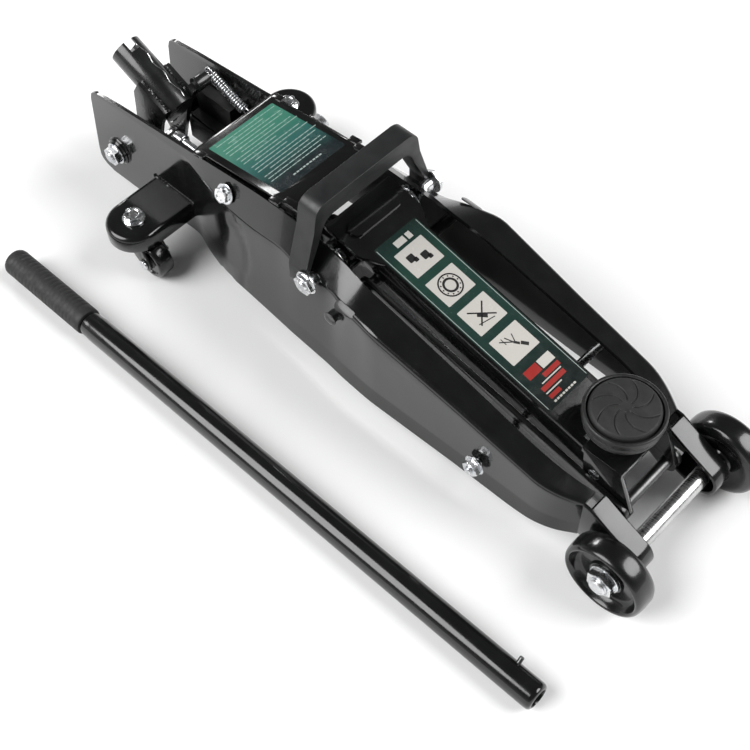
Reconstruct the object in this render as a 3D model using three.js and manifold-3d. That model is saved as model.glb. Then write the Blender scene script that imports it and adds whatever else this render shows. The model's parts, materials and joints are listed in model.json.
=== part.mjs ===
// Hydraulic floor jack (low trolley jack) with its loose two-hand pump handle.
// Millimetres, +Z up, +X towards the saddle. The model is laid out from the point on the
// ground below the front axle and is moved to its bounding-box bottom centre at the end.
import * as THREE from 'three';
import { mergeVertices } from 'three/addons/utils/BufferGeometryUtils.js';
import Module from 'manifold-3d';

const wasm = await Module();
wasm.setup();

// ---------------------------------------------------------------- driving dimensions
const GAP = 0.3; // running and resting clearance between neighbouring pieces
const PLATE = 3.2; // pressed side-plate thickness

const FRONT_AXLE = { x: 0, z: 35, radius: 7.5 };
const WHEEL = { radius: 35, inner: 60, width: 22, hub: 16, bore: 7.8 };
const CASTER = { x: -503, y: 93, trail: 19, radius: 18, plateZ: 54, plateRadius: 25.5 };
const ARM_PIVOT = { x: -308, z: 113 };
const ARM_SLOPE = 0.215; // radians, nose down at rest
const ROD_PIVOT = { x: -280, z: 95 };
const SADDLE_PIN = { x: -52, z: 66 };
const BRACKET_PIN = {
  x: SADDLE_PIN.x + ROD_PIVOT.x - ARM_PIVOT.x,
  z: SADDLE_PIN.z + ROD_PIVOT.z - ARM_PIVOT.z,
};
const PIN_RADIUS = 5;
const TIE_BOLT = { x: -127, z: 51 };
const SOCKET_PIVOT = { x: -577, z: 50 };
const SOCKET_SLOPE = 0.433; // radians, tube rises to the rear
const SOCKET = { outer: 15, inner: 12.4, length: 73 };
const RAM = { z: 74, radius: 12, crosshead: -360, eye: -329 };
const TANK = { radius: 31, from: -450, to: -398 };
const SADDLE = { x: -54.5, radius: 31.5, rimZ: 119, padZ: 123 };
const COVER = { from: -466, to: -340, halfWidth: 43, z: 127, slope: 0.134 };
const PUMP = { z: 32, rollerX: -571, rollerRadius: 8 };
const HANDLE = { from: [-576, -178], to: [19, -172], radius: 11.5, gripLength: 112 };

// Side plate, left side: x, then y and z of the bottom edge, the lower fold, the upper fold and
// the free edge of the top flange, all on the outer face.
const PLATE_STATIONS = [
  [-614, [47, 10], [47, 40], [47, 104], [47, 105.5]],
  [-560, [47, 12], [47, 40], [47, 109], [46.6, 113.5]],
  [-475, [47, 17], [47, 40], [47, 113], [46, 122.5]],
  [-455, [55, 19], [55, 41], [51, 108], [46, 125.5]],
  [-420, [66, 26], [64, 43], [56, 103], [46, 130]],
  [-385, [68.5, 27], [66.5, 43], [58.5, 105], [46, 134]],
  [-350, [71, 27], [69, 43], [61, 113], [46, 135]],
  [-330, [72.5, 27], [70.5, 43], [64.5, 113], [46.5, 135.5]],
  [-288, [74.5, 27], [72.5, 43], [65.5, 114], [48.5, 132]],
  [-268, [76.5, 27], [74.5, 43], [72.5, 117], [50, 126]],
  [-237, [78, 27], [76, 43], [78, 121], [51, 121.5]],
  [-150, [75, 27], [73, 43], [73.5, 99], [51.5, 102]],
  [-91, [74, 27], [71.5, 43], [71.5, 84.3], [52, 88]],
  [-72, [72.5, 27], [70.8, 42.5], [70.8, 79.6], [50.5, 82.6]],
  [-55, [67, 27], [65.5, 42], [65.5, 75.2], [48, 77.5]],
  [-40, [57.5, 27], [57.5, 42], [57.5, 71.5], [44, 73]],
];
const NOSE = { y: 57.5, flange: 38.5, radius: 16, back: -44 };

// ---------------------------------------------------------------- materials
function material(color, roughness, metalness) {
  return new THREE.MeshStandardMaterial({ color, roughness, metalness });
}
const blackPaint = () => material(0x0c0d0e, 0.22, 0.1);
const satinBlack = () => material(0x17181a, 0.5, 0.1);
const matteBlack = () => material(0x1d1e20, 0.75, 0);
const rubber = () => material(0x202123, 0.85, 0);
const zinc = () => material(0xc9ccd0, 0.25, 0.95);
const steel = () => material(0xaeb2b6, 0.35, 0.9);
const darkSteel = () => material(0x3a3c3f, 0.45, 0.8);
const castIron = () => material(0x2a2b2c, 0.65, 0.5);
const redPlastic = () => material(0xa3201c, 0.5, 0);

// ---------------------------------------------------------------- solids
function signedVolume(positions, index) {
  const [a, b, c] = [new THREE.Vector3(), new THREE.Vector3(), new THREE.Vector3()];
  let sum = 0;
  for (let i = 0; i < index.length; i += 3) {
    a.fromArray(positions, 3 * index[i]);
    b.fromArray(positions, 3 * index[i + 1]);
    c.fromArray(positions, 3 * index[i + 2]);
    sum += a.dot(b.cross(c));
  }
  return sum;
}

// A closed three.js geometry becomes a solid that can be cut and joined.
function solid(geometry) {
  const bare = geometry.clone();
  bare.deleteAttribute('normal');
  bare.deleteAttribute('uv');
  const merged = mergeVertices(bare, 1e-4);
  const positions = merged.attributes.position.array;
  const index = [];
  for (let i = 0; i < merged.index.count; i += 3) {
    const [a, b, c] = [0, 1, 2].map((k) => merged.index.getX(i + k));
    if (a !== b && b !== c && c !== a) index.push(a, b, c);
  }
  if (signedVolume(positions, index) < 0) index.reverse();
  return new wasm.Manifold(new wasm.Mesh({
    numProp: 3,
    vertProperties: new Float32Array(positions),
    triVerts: new Uint32Array(index),
  }));
}

function join(...solids) {
  return solids.reduce((whole, next) => whole.add(next));
}

function cut(body, ...tools) {
  return tools.reduce((whole, tool) => whole.subtract(tool), body);
}

function mirrored(body) {
  return body.mirror([0, 1, 0]);
}

function block(x0, x1, y0, y1, z0, z1) {
  const box = new THREE.BoxGeometry(x1 - x0, y1 - y0, z1 - z0);
  box.translate((x0 + x1) / 2, (y0 + y1) / 2, (z0 + z1) / 2);
  return solid(box);
}

// Turns a shape made along +Z, or a lathe turned about +Y, to the wanted axis.
function alongAxis(geometry, axis, isLathe) {
  if (isLathe) {
    if (axis === 'x') geometry.rotateZ(-Math.PI / 2);
    if (axis === 'z') geometry.rotateX(Math.PI / 2);
  } else if (axis === 'x') {
    geometry.applyMatrix4(new THREE.Matrix4().makeBasis(
      new THREE.Vector3(0, 1, 0), new THREE.Vector3(0, 0, 1), new THREE.Vector3(1, 0, 0),
    ));
  } else if (axis === 'y') {
    geometry.applyMatrix4(new THREE.Matrix4().makeBasis(
      new THREE.Vector3(1, 0, 0), new THREE.Vector3(0, 0, 1), new THREE.Vector3(0, -1, 0),
    ));
  }
  return geometry;
}

// Cylinder along an axis between two stations; (u, v) are its two other coordinates in order.
function rod(axis, radius, from, to, u, v, segments = 20) {
  const cylinder = new THREE.CylinderGeometry(radius, radius, to - from, segments);
  alongAxis(cylinder, axis, true);
  const middle = (from + to) / 2;
  const place = { x: [middle, u, v], y: [u, middle, v], z: [u, v, middle] }[axis];
  cylinder.translate(...place);
  return solid(cylinder);
}

function hexagon(axis, acrossFlats, from, to, u, v) {
  return rod(axis, acrossFlats / Math.sqrt(3), from, to, u, v, 6);
}

// Shape in the plane across the axis, extruded between two stations.
// Shapes are drawn in (x, y) for z, (x, z) for y and (y, z) for x.
function slab(axis, shape, from, to, curveSegments = 6) {
  const extruded = new THREE.ExtrudeGeometry(shape, {
    depth: to - from, bevelEnabled: false, curveSegments,
  });
  alongAxis(extruded, axis, false);
  const offset = { x: [from, 0, 0], y: [0, to, 0], z: [0, 0, from] }[axis];
  extruded.translate(...offset);
  return solid(extruded);
}

// Closed profile of [radius, height] pairs turned about an axis through (u, v).
function turned(axis, profile, start, u, v, segments = 28) {
  const points = profile.map(([radius, height]) => new THREE.Vector2(radius, height));
  const closed = points[0].x < 1e-6 ? points : [...points, points[0].clone()];
  const lathe = new THREE.LatheGeometry(closed, segments);
  alongAxis(lathe, axis, true);
  const place = { x: [start, u, v], y: [u, start, v], z: [u, v, start] }[axis];
  lathe.translate(...place);
  return solid(lathe);
}

// Capsule-shaped link outline between two eyes.
function linkShape(a, radiusA, b, radiusB) {
  const direction = Math.atan2(b[1] - a[1], b[0] - a[0]);
  const lean = Math.acos((radiusA - radiusB) / Math.hypot(b[0] - a[0], b[1] - a[1]));
  const shape = new THREE.Shape();
  shape.absarc(a[0], a[1], radiusA, direction + lean, direction - lean, false);
  shape.absarc(b[0], b[1], radiusB, direction - lean, direction + lean, false);
  shape.closePath();
  return shape;
}

class Helix extends THREE.Curve {
  constructor(radius, pitch, turns) {
    super();
    Object.assign(this, { radius, pitch, turns });
  }

  getPoint(t) {
    const angle = 2 * Math.PI * this.turns * t;
    const height = this.pitch * this.turns * t;
    return new THREE.Vector3(this.radius * Math.cos(angle), this.radius * Math.sin(angle), height);
  }
}

// Coil along +Z from the origin with closed wire ends.
function coil(radius, wire, pitch, turns, stepsPerTurn = 12) {
  const section = new THREE.Shape();
  section.absarc(0, 0, wire, 0, 2 * Math.PI, false);
  return new THREE.ExtrudeGeometry(section, {
    steps: Math.round(turns * stepsPerTurn),
    curveSegments: 3,
    extrudePath: new Helix(radius, pitch, turns),
  });
}

function geometryOf(body) {
  const mesh = body.getMesh();
  const indexed = new THREE.BufferGeometry();
  indexed.setAttribute('position', new THREE.BufferAttribute(mesh.vertProperties, 3));
  indexed.setIndex(new THREE.BufferAttribute(mesh.triVerts, 1));
  indexed.computeVertexNormals();
  return indexed;
}

const jack = new THREE.Group();

function piece(name, body, look, parent = jack) {
  const geometry = body.isBufferGeometry ? body : geometryOf(body);
  const mesh = new THREE.Mesh(geometry, look);
  mesh.name = name;
  parent.add(mesh);
  return mesh;
}

const SIDES = [['left', 1], ['right', -1]];

// Adds a left piece and its mirror image on the right.
function pair(name, body, look) {
  piece(`${name}_left`, body, look());
  piece(`${name}_right`, mirrored(body), look());
}

// ---------------------------------------------------------------- side plates
// Offsets a cross-section polyline sideways by the sheet thickness, mitred at the folds.
function insetSection(points, thickness) {
  const normals = [];
  for (let i = 0; i < points.length - 1; i += 1) {
    const edge = points[i + 1].clone().sub(points[i]).normalize();
    normals.push(new THREE.Vector2(-edge.y, edge.x));
  }
  return points.map((point, i) => {
    const before = normals[Math.max(i - 1, 0)];
    const after = normals[Math.min(i, normals.length - 1)];
    const mitre = before.clone().add(after).normalize();
    return point.clone().addScaledVector(mitre, thickness / Math.max(mitre.dot(before), 0.5));
  });
}

// Closed skin through equal rings of points, one ring at each x station.
function loft(rings) {
  const count = rings[0].points.length;
  const positions = rings.flatMap(({ x, points }) => points.flatMap((p) => [x, p.x, p.y]));
  const index = [];
  for (let r = 0; r < rings.length - 1; r += 1) {
    for (let i = 0; i < count; i += 1) {
      const j = (i + 1) % count;
      const [a, b] = [r * count + i, r * count + j];
      index.push(a, a + count, b, b, a + count, b + count);
    }
  }
  const last = (rings.length - 1) * count;
  const half = count / 2;
  for (let i = 0; i < half - 1; i += 1) {
    const [a, b, c, d] = [i, i + 1, count - 2 - i, count - 1 - i];
    index.push(a, b, d, b, c, d);
    index.push(last + a, last + d, last + b, last + b, last + d, last + c);
  }
  const geometry = new THREE.BufferGeometry();
  geometry.setAttribute('position', new THREE.Float32BufferAttribute(positions, 3));
  geometry.setIndex(index);
  return solid(geometry);
}

function plateSkin() {
  return loft(PLATE_STATIONS.map(([x, ...section]) => {
    const outer = section.map(([y, z]) => new THREE.Vector2(y, z));
    const inner = insetSection(outer, PLATE);
    return { x, points: [...outer, ...inner.reverse()] };
  }));
}

function noseShape(inset) {
  const { radius, back } = NOSE;
  const { x, z } = FRONT_AXLE;
  const reach = inset > 0 ? 12 : 0;
  const shape = new THREE.Shape();
  shape.moveTo(back - reach, 27 - reach);
  shape.lineTo(x - 20, 27 - reach);
  shape.absarc(x, z, radius - inset, -1.9, 1.2, false);
  shape.lineTo(-36, 70.5 - inset);
  shape.lineTo(back - reach, 72.4 - inset + 0.25 * reach);
  shape.closePath();
  return shape;
}

function tailShape() {
  const shape = new THREE.Shape();
  shape.moveTo(-598, 8);
  shape.lineTo(40, 8);
  shape.lineTo(40, 150);
  shape.lineTo(-560, 150);
  shape.lineTo(-596, 107);
  shape.quadraticCurveTo(-602, 106, -604, 98);
  shape.lineTo(-612, 24);
  shape.quadraticCurveTo(-611, 12, -598, 12);
  shape.closePath();
  return shape;
}

function sidePlate() {
  const { y, flange } = NOSE;
  const web = slab('y', noseShape(0), y - PLATE, y);
  const band = cut(
    slab('y', noseShape(0), flange, y),
    slab('y', noseShape(PLATE), flange - 5, y - PLATE),
  );
  const boss = rod('y', 13, 46, 50.5, SOCKET_PIVOT.x, SOCKET_PIVOT.z, 24);
  const spacer = rod('y', 10, 22, 46, SOCKET_PIVOT.x, SOCKET_PIVOT.z, 24);
  const pressed = join(plateSkin(), web, band, boss, spacer).intersect(slab('y', tailShape(), 10, 90));
  return cut(
    pressed,
    rod('y', FRONT_AXLE.radius + GAP, 30, 90, FRONT_AXLE.x, FRONT_AXLE.z),
    rod('y', 4.3, 30, 90, TIE_BOLT.x, TIE_BOLT.z, 16),
    rod('y', 6.3, 30, 90, ARM_PIVOT.x, ARM_PIVOT.z),
    rod('y', PIN_RADIUS + GAP, 30, 90, ROD_PIVOT.x, ROD_PIVOT.z),
    rod('y', 6.3, 10, 90, SOCKET_PIVOT.x, SOCKET_PIVOT.z),
  );
}

pair('side_plate', sidePlate(), blackPaint);

// ---------------------------------------------------------------- front axle and wheels
const hubFace = WHEEL.inner + WHEEL.hub;
piece('front_axle', rod(
  'y', FRONT_AXLE.radius, -hubFace - 11.5, hubFace + 11.5, FRONT_AXLE.x, FRONT_AXLE.z,
), steel());

const wheelProfile = [
  [WHEEL.bore, 0], [31, 0.6], [33.8, 3], [WHEEL.radius, 6.5], [WHEEL.radius, 16],
  [33.8, 20.5], [32.2, WHEEL.width], [29.5, WHEEL.width], [26, 13], [15.5, 13],
  [14.5, WHEEL.hub], [WHEEL.bore, WHEEL.hub],
];
pair('front_wheel', turned('y', wheelProfile, WHEEL.inner, FRONT_AXLE.x, FRONT_AXLE.z, 28), blackPaint);

const axleNut = cut(
  join(
    rod('y', 13, hubFace + GAP, hubFace + 2, FRONT_AXLE.x, FRONT_AXLE.z, 24),
    hexagon('y', 21, hubFace + 1.8, hubFace + 8.5, FRONT_AXLE.x, FRONT_AXLE.z),
  ),
  rod('y', FRONT_AXLE.radius + GAP, 70, 100, FRONT_AXLE.x, FRONT_AXLE.z),
);
pair('axle_nut', axleNut, zinc);

// ---------------------------------------------------------------- tie bolt
piece('tie_bolt', join(
  rod('y', 4, -85, 78, TIE_BOLT.x, TIE_BOLT.z, 16),
  hexagon('y', 13, 76.6, 82, TIE_BOLT.x, TIE_BOLT.z),
), zinc());
piece('tie_bolt_nut', cut(
  join(
    rod('y', 9, -77.4, -75.8, TIE_BOLT.x, TIE_BOLT.z, 20),
    hexagon('y', 13, -83, -77.2, TIE_BOLT.x, TIE_BOLT.z),
  ),
  rod('y', 4.3, -90, -70, TIE_BOLT.x, TIE_BOLT.z, 16),
), zinc());

// ---------------------------------------------------------------- rear casters
function bracketShape(inset) {
  const radius = CASTER.plateRadius - inset;
  const root = 47.6 - (inset > 0 ? 4 : 0);
  const shape = new THREE.Shape();
  shape.moveTo(CASTER.x - radius, root);
  shape.lineTo(CASTER.x + radius, root);
  shape.lineTo(CASTER.x + radius, CASTER.y);
  shape.absarc(CASTER.x, CASTER.y, radius, 0, Math.PI, false);
  shape.closePath();
  return shape;
}

const casterBracket = cut(
  slab('z', bracketShape(0), CASTER.plateZ - 16, CASTER.plateZ),
  slab('z', bracketShape(3), CASTER.plateZ - 20, CASTER.plateZ - 3),
  rod('z', 5.3, 30, 60, CASTER.x, CASTER.y, 16),
);
pair('caster_bracket', casterBracket, blackPaint);

const casterBolt = join(
  rod('z', 5, CASTER.plateZ - 11, CASTER.plateZ + 4, CASTER.x, CASTER.y, 16),
  rod('z', 10, CASTER.plateZ + GAP, CASTER.plateZ + 1.8, CASTER.x, CASTER.y, 24),
  hexagon('z', 15, CASTER.plateZ + 1.6, CASTER.plateZ + 6.5, CASTER.x, CASTER.y),
  hexagon('z', 13, CASTER.plateZ - 14, CASTER.plateZ - 8, CASTER.x, CASTER.y),
);
pair('caster_bolt', casterBolt, zinc);

const casterAxleX = CASTER.x + CASTER.trail;
const forkTop = CASTER.plateZ - 3.4;
function forkCheek(from, to) {
  const shape = new THREE.Shape();
  shape.moveTo(CASTER.x - 12, forkTop - 0.5);
  shape.lineTo(CASTER.x + 12, forkTop - 0.5);
  shape.lineTo(CASTER.x + 14, 42);
  shape.lineTo(casterAxleX + 7.5, 20);
  shape.absarc(casterAxleX, CASTER.radius, 7.5, 0.25, Math.PI + 0.5, true);
  shape.lineTo(CASTER.x - 6, 34);
  shape.closePath();
  return slab('y', shape, CASTER.y + from, CASTER.y + to, 5);
}
const casterFork = cut(
  join(
    cut(
      rod('z', 20, forkTop - 3.4, forkTop, CASTER.x, CASTER.y, 28),
      rod('z', 5.3, 40, 56, CASTER.x, CASTER.y, 16),
    ),
    forkCheek(9, 11.5),
    forkCheek(-11.5, -9),
  ),
  rod('y', 3.3, 70, 120, casterAxleX, CASTER.radius, 12),
);
pair('caster_fork', casterFork, satinBlack);

const casterWheelProfile = [
  [3.3, -8], [15.5, -8], [17, -7.2], [CASTER.radius, -5], [CASTER.radius, 5], [17, 7.2], [15.5, 8],
  [3.3, 8],
];
pair('caster_wheel', turned(
  'y', casterWheelProfile, CASTER.y, casterAxleX, CASTER.radius, 24,
), blackPaint);
pair('caster_axle', join(
  rod('y', 3, CASTER.y - 13, CASTER.y + 13, casterAxleX, CASTER.radius, 12),
  rod('y', 5, CASTER.y + 11.8, CASTER.y + 14, casterAxleX, CASTER.radius, 16),
  rod('y', 5, CASTER.y - 14, CASTER.y - 11.8, casterAxleX, CASTER.radius, 16),
), zinc);

// ---------------------------------------------------------------- cover plate
// The cover and its bolts lie in a group tilted to the cover's slope.
const coverTilt = Math.atan(COVER.slope);
const coverGroup = new THREE.Group();
coverGroup.position.set(COVER.from, 0, COVER.z);
coverGroup.rotation.y = -coverTilt;
jack.add(coverGroup);

const coverLength = (COVER.to - COVER.from) / Math.cos(coverTilt);
const coverTabs = [3, 94].flatMap((start) => SIDES.map(([, side]) => {
  const [inner, outer] = [COVER.halfWidth - 2, 47.5].map((y) => side * y);
  return block(start, start + 11, Math.min(inner, outer), Math.max(inner, outer), -2, 0.8);
}));
piece('cover_plate', cut(
  join(block(0, coverLength, -COVER.halfWidth, COVER.halfWidth, -2.2, 0), ...coverTabs),
  block(coverLength - 11.5, coverLength - 10, -38, 38, -0.8, 1),
), blackPaint(), coverGroup);

// Bolts in the upper strip of the side plates hold the cover and the power unit.
const coverBolt = join(
  rod('z', 9, GAP, 1.6, 0, 0, 20),
  hexagon('z', 12.5, 1.4, 6.8, 0, 0),
  rod('z', 3.6, -1.2, 1, 0, 0, 12),
);
const coverBoltHeight = 115;
const stripLean = Math.atan2(10, 27);
for (const [name, side] of SIDES) {
  const bolt = piece(`cover_bolt_${name}`, coverBolt, zinc());
  bolt.position.set(-420, side * (56 - 10 / 27 * (coverBoltHeight - 103)), coverBoltHeight);
  bolt.rotation.x = -side * (Math.PI / 2 - stripLean);
  bolt.translateZ(1.6);
}

// ---------------------------------------------------------------- carry handle
function handleShape() {
  const shape = new THREE.Shape();
  shape.moveTo(-71, 103);
  shape.lineTo(-71, 120);
  shape.lineTo(-59, 158);
  shape.lineTo(-57, 170);
  shape.quadraticCurveTo(-56, 181, -45, 182);
  shape.lineTo(45, 182);
  shape.quadraticCurveTo(56, 181, 57, 170);
  shape.lineTo(59, 158);
  shape.lineTo(71, 120);
  shape.lineTo(71, 103);
  shape.lineTo(66.9, 103);
  shape.lineTo(66.9, 118);
  shape.lineTo(52, 150);
  shape.quadraticCurveTo(49, 164, 39, 165);
  shape.lineTo(-39, 165);
  shape.quadraticCurveTo(-49, 164, -52, 150);
  shape.lineTo(-66.9, 118);
  shape.lineTo(-66.9, 103);
  shape.closePath();
  return shape;
}
piece('carry_handle', cut(
  slab('x', handleShape(), ARM_PIVOT.x - 20, ARM_PIVOT.x - 1, 5),
  rod('y', 6.3, -80, 80, ARM_PIVOT.x, ARM_PIVOT.z),
), matteBlack());

// ---------------------------------------------------------------- lifting arm
// The arm is drawn in its own frame: a along the top plate, b square to it, from the pivot.
const cosSlope = Math.cos(ARM_SLOPE);
const sinSlope = Math.sin(ARM_SLOPE);
function armLocal({ x, z }) {
  const [dx, dz] = [x - ARM_PIVOT.x, z - ARM_PIVOT.z];
  return [dx * cosSlope - dz * sinSlope, dx * sinSlope + dz * cosSlope];
}
const [tipA, tipB] = armLocal(SADDLE_PIN);
const armTop = 22.2;
const lugOffset = { x: RAM.eye - ARM_PIVOT.x, z: 76.6 - ARM_PIVOT.z };
const [lugA, lugB] = armLocal({ x: ARM_PIVOT.x + lugOffset.x, z: ARM_PIVOT.z + lugOffset.z });

function armTopShape() {
  const shape = new THREE.Shape();
  shape.moveTo(-19, -33);
  shape.quadraticCurveTo(-19, -36, -16, -36);
  shape.lineTo(14, -36);
  shape.quadraticCurveTo(20, -36, 24, -32);
  shape.lineTo(36, -25);
  shape.lineTo(tipA, -25);
  shape.lineTo(tipA, -19);
  shape.lineTo(tipA - 24, -19);
  shape.lineTo(tipA - 24, 19);
  shape.lineTo(tipA, 19);
  shape.lineTo(tipA, 25);
  shape.lineTo(36, 25);
  shape.lineTo(24, 32);
  shape.quadraticCurveTo(20, 36, 14, 36);
  shape.lineTo(-16, 36);
  shape.quadraticCurveTo(-19, 36, -19, 33);
  shape.closePath();
  return shape;
}

function armWebShape() {
  const tipRadius = armTop - tipB - 0.1;
  const shape = new THREE.Shape();
  shape.moveTo(-12, armTop - 1);
  shape.lineTo(-14, 0);
  shape.lineTo(-8, -12);
  shape.lineTo(6, -13);
  shape.lineTo(20, -3);
  shape.lineTo(44, -3);
  shape.lineTo(120, -9);
  shape.lineTo(tipA - 30, -6);
  shape.lineTo(tipA, tipB - tipRadius + 2);
  shape.absarc(tipA, tipB, tipRadius, -1.3, 1.5, false);
  shape.closePath();
  return shape;
}

function ribShape() {
  const shape = new THREE.Shape();
  shape.moveTo(-7, -20);
  shape.absarc(0, -20, 7, Math.PI, 2 * Math.PI, false);
  shape.absarc(0, 20, 7, 0, Math.PI, false);
  shape.closePath();
  return shape;
}

const armBody = cut(
  join(
    slab('z', armTopShape(), armTop - 4, armTop),
    slab('z', ribShape(), armTop - 1, armTop + 3),
    slab('y', armWebShape(), 21, 25),
    slab('y', armWebShape(), -25, -21),
    rod('y', 15, -36, 36, 0, 0, 24),
    slab('y', linkShape([0, 0], 11, [lugA, lugB], 7.5), 12.5, 17.5),
    slab('y', linkShape([0, 0], 11, [lugA, lugB], 7.5), -17.5, -12.5),
  ),
  rod('y', 8.3, -40, 40, 0, 0, 20),
  rod('y', PIN_RADIUS + GAP, -30, 30, tipA, tipB),
  rod('y', 4.8, -20, 20, lugA, lugB, 16),
);
const arm = piece('lift_arm', armBody, blackPaint());
arm.position.set(ARM_PIVOT.x, 0, ARM_PIVOT.z);
arm.rotation.y = ARM_SLOPE;

piece('ram_lug_pin', join(
  rod('y', 4.5, -20, 20, RAM.eye, ARM_PIVOT.z + lugOffset.z, 16),
  rod('y', 7, 18, 20.5, RAM.eye, ARM_PIVOT.z + lugOffset.z, 16),
  rod('y', 7, -20.5, -18, RAM.eye, ARM_PIVOT.z + lugOffset.z, 16),
), steel());

piece('arm_shaft', join(
  rod('y', 8, -50, 50, ARM_PIVOT.x, ARM_PIVOT.z, 24),
  rod('y', 6, -78.5, 74, ARM_PIVOT.x, ARM_PIVOT.z, 20),
  rod('y', 10.5, 71.3, 72.7, ARM_PIVOT.x, ARM_PIVOT.z, 24),
  hexagon('y', 17, 72.5, 77, ARM_PIVOT.x, ARM_PIVOT.z),
), zinc());
piece('arm_shaft_nut', cut(
  join(
    rod('y', 10.5, -72.7, -71.3, ARM_PIVOT.x, ARM_PIVOT.z, 24),
    hexagon('y', 17, -77, -72.5, ARM_PIVOT.x, ARM_PIVOT.z),
  ),
  rod('y', 6.3, -90, -60, ARM_PIVOT.x, ARM_PIVOT.z),
), zinc());

for (const [name, side] of SIDES) {
  const spring = piece(`arm_spring_${name}`, solid(coil(11.4, 1.6, 3.5, 2.6, 10)), zinc());
  spring.position.set(ARM_PIVOT.x, side > 0 ? 38.4 : -38.4 - 3.5 * 2.6, ARM_PIVOT.z);
  spring.rotation.x = -Math.PI / 2;
}

// ---------------------------------------------------------------- radius rods and saddle bracket
const rodEnds = [[ROD_PIVOT.x, ROD_PIVOT.z], [BRACKET_PIN.x, BRACKET_PIN.z]];
pair('radius_rod', cut(
  slab('y', linkShape(rodEnds[0], 9, rodEnds[1], 8.9), 30.4, 34.4),
  rod('y', PIN_RADIUS + GAP, 28, 42, ...rodEnds[0], 16),
  rod('y', PIN_RADIUS + GAP, 28, 42, ...rodEnds[1], 16),
), satinBlack);
piece('radius_rod_shaft', join(
  rod('y', PIN_RADIUS, -78, 78, ROD_PIVOT.x, ROD_PIVOT.z, 16),
  rod('y', 8, 76, 79.5, ROD_PIVOT.x, ROD_PIVOT.z, 20),
  rod('y', 8, -79.5, -76, ROD_PIVOT.x, ROD_PIVOT.z, 20),
), darkSteel());

const saddleSeat = 90;
function bracketSide(from, to) {
  const shape = new THREE.Shape();
  shape.moveTo(SADDLE_PIN.x - 12, saddleSeat - 5);
  shape.lineTo(SADDLE_PIN.x - 10, SADDLE_PIN.z);
  shape.absarc(SADDLE_PIN.x, SADDLE_PIN.z, 10, Math.PI, 1.35 * Math.PI, false);
  shape.absarc(BRACKET_PIN.x, BRACKET_PIN.z, 9, 1.35 * Math.PI, 2.2 * Math.PI, false);
  shape.lineTo(SADDLE_PIN.x + 22, saddleSeat - 5);
  shape.closePath();
  return slab('y', shape, from, to, 6);
}
piece('saddle_bracket', cut(
  join(
    block(SADDLE_PIN.x - 14, SADDLE_PIN.x + 22, -29.8, 29.8, saddleSeat - 6, saddleSeat),
    bracketSide(25.8, 29.8),
    bracketSide(-29.8, -25.8),
  ),
  rod('y', PIN_RADIUS + GAP, -40, 40, SADDLE_PIN.x, SADDLE_PIN.z, 16),
  rod('y', PIN_RADIUS + GAP, -40, 40, BRACKET_PIN.x, BRACKET_PIN.z, 16),
  rod('z', 8.3, 70, 100, SADDLE.x, 0, 24),
), blackPaint());
piece('saddle_pivot_pin', rod('y', PIN_RADIUS, -30.1, 30.1, SADDLE_PIN.x, SADDLE_PIN.z, 16), zinc());
piece('bracket_pin', join(
  rod('y', PIN_RADIUS, -36.3, 36.3, BRACKET_PIN.x, BRACKET_PIN.z, 16),
  rod('y', 7.5, 34.7, 36.4, BRACKET_PIN.x, BRACKET_PIN.z, 16),
  rod('y', 7.5, -36.4, -34.7, BRACKET_PIN.x, BRACKET_PIN.z, 16),
), darkSteel());

const { radius: cupRadius, rimZ, padZ } = SADDLE;
piece('saddle_cup', turned('z', [
  [0, 82], [8, 82], [8, saddleSeat + GAP], [17, saddleSeat + GAP], [18, 100], [29, 103],
  [30, 108], [cupRadius - 2, 110], [cupRadius, 113], [cupRadius, rimZ], [cupRadius - 3.5, rimZ],
  [cupRadius - 4, 111], [0, 111],
], 0, SADDLE.x, 0, 28), castIron());
const padGrooves = [0, 1, 2, 3, 4, 5].map((i) => {
  const groove = new THREE.BoxGeometry(17, 1.8, 3);
  groove.translate(13.5, 6, padZ);
  groove.rotateZ(i * Math.PI / 3);
  groove.translate(SADDLE.x, 0, 0);
  return solid(groove);
});
piece('saddle_pad', cut(
  turned('z', [[0, 111.3], [27, 111.3], [27, padZ - 3], [25, padZ], [0, padZ]], 0, SADDLE.x, 0, 28),
  ...padGrooves,
), rubber());

// ---------------------------------------------------------------- hydraulic power unit
const baseEnd = { x: -500, front: -450 };
const baseEar = join(
  block(-557, baseEnd.x + 0.1, 22, 43.4, 40, 60),
  block(-557, -512, 32, 43.4, 59.9, 84),
);
const baseEars = [baseEar, mirrored(baseEar)];
piece('hydraulic_base', cut(
  join(
    block(baseEnd.x, baseEnd.front - GAP, -43.4, 43.4, 40, 86),
    block(baseEnd.x + 22, baseEnd.front - GAP, -43.4, 43.4, 80, 112),
    block(baseEnd.x, baseEnd.front - GAP, -22, 22, 18, 42),
    ...baseEars,
    rod('y', 2.5, 30, 40, -483, 95, 12),
    block(-486, -477, 38, 42, 84, 99),
  ),
  rod('x', 12.3, -510, -478, 0, PUMP.z, 24),
  rod('x', 4.3, -510, -462, -28, 98, 16),
  rod('z', 4.3, 100, 120, -462, 0, 16),
), castIron());
piece('reservoir', cut(
  rod('x', TANK.radius, TANK.from, TANK.to, 0, RAM.z, 24),
  rod('x', RAM.radius + GAP, TANK.from + 4, TANK.to + 5, 0, RAM.z, 24),
), satinBlack());
piece('tank_nut', cut(
  rod('x', 27, TANK.to + GAP, TANK.to + 12, 0, RAM.z, 8),
  rod('x', RAM.radius + GAP, TANK.to - 5, TANK.to + 20, 0, RAM.z, 24),
), darkSteel());

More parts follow.
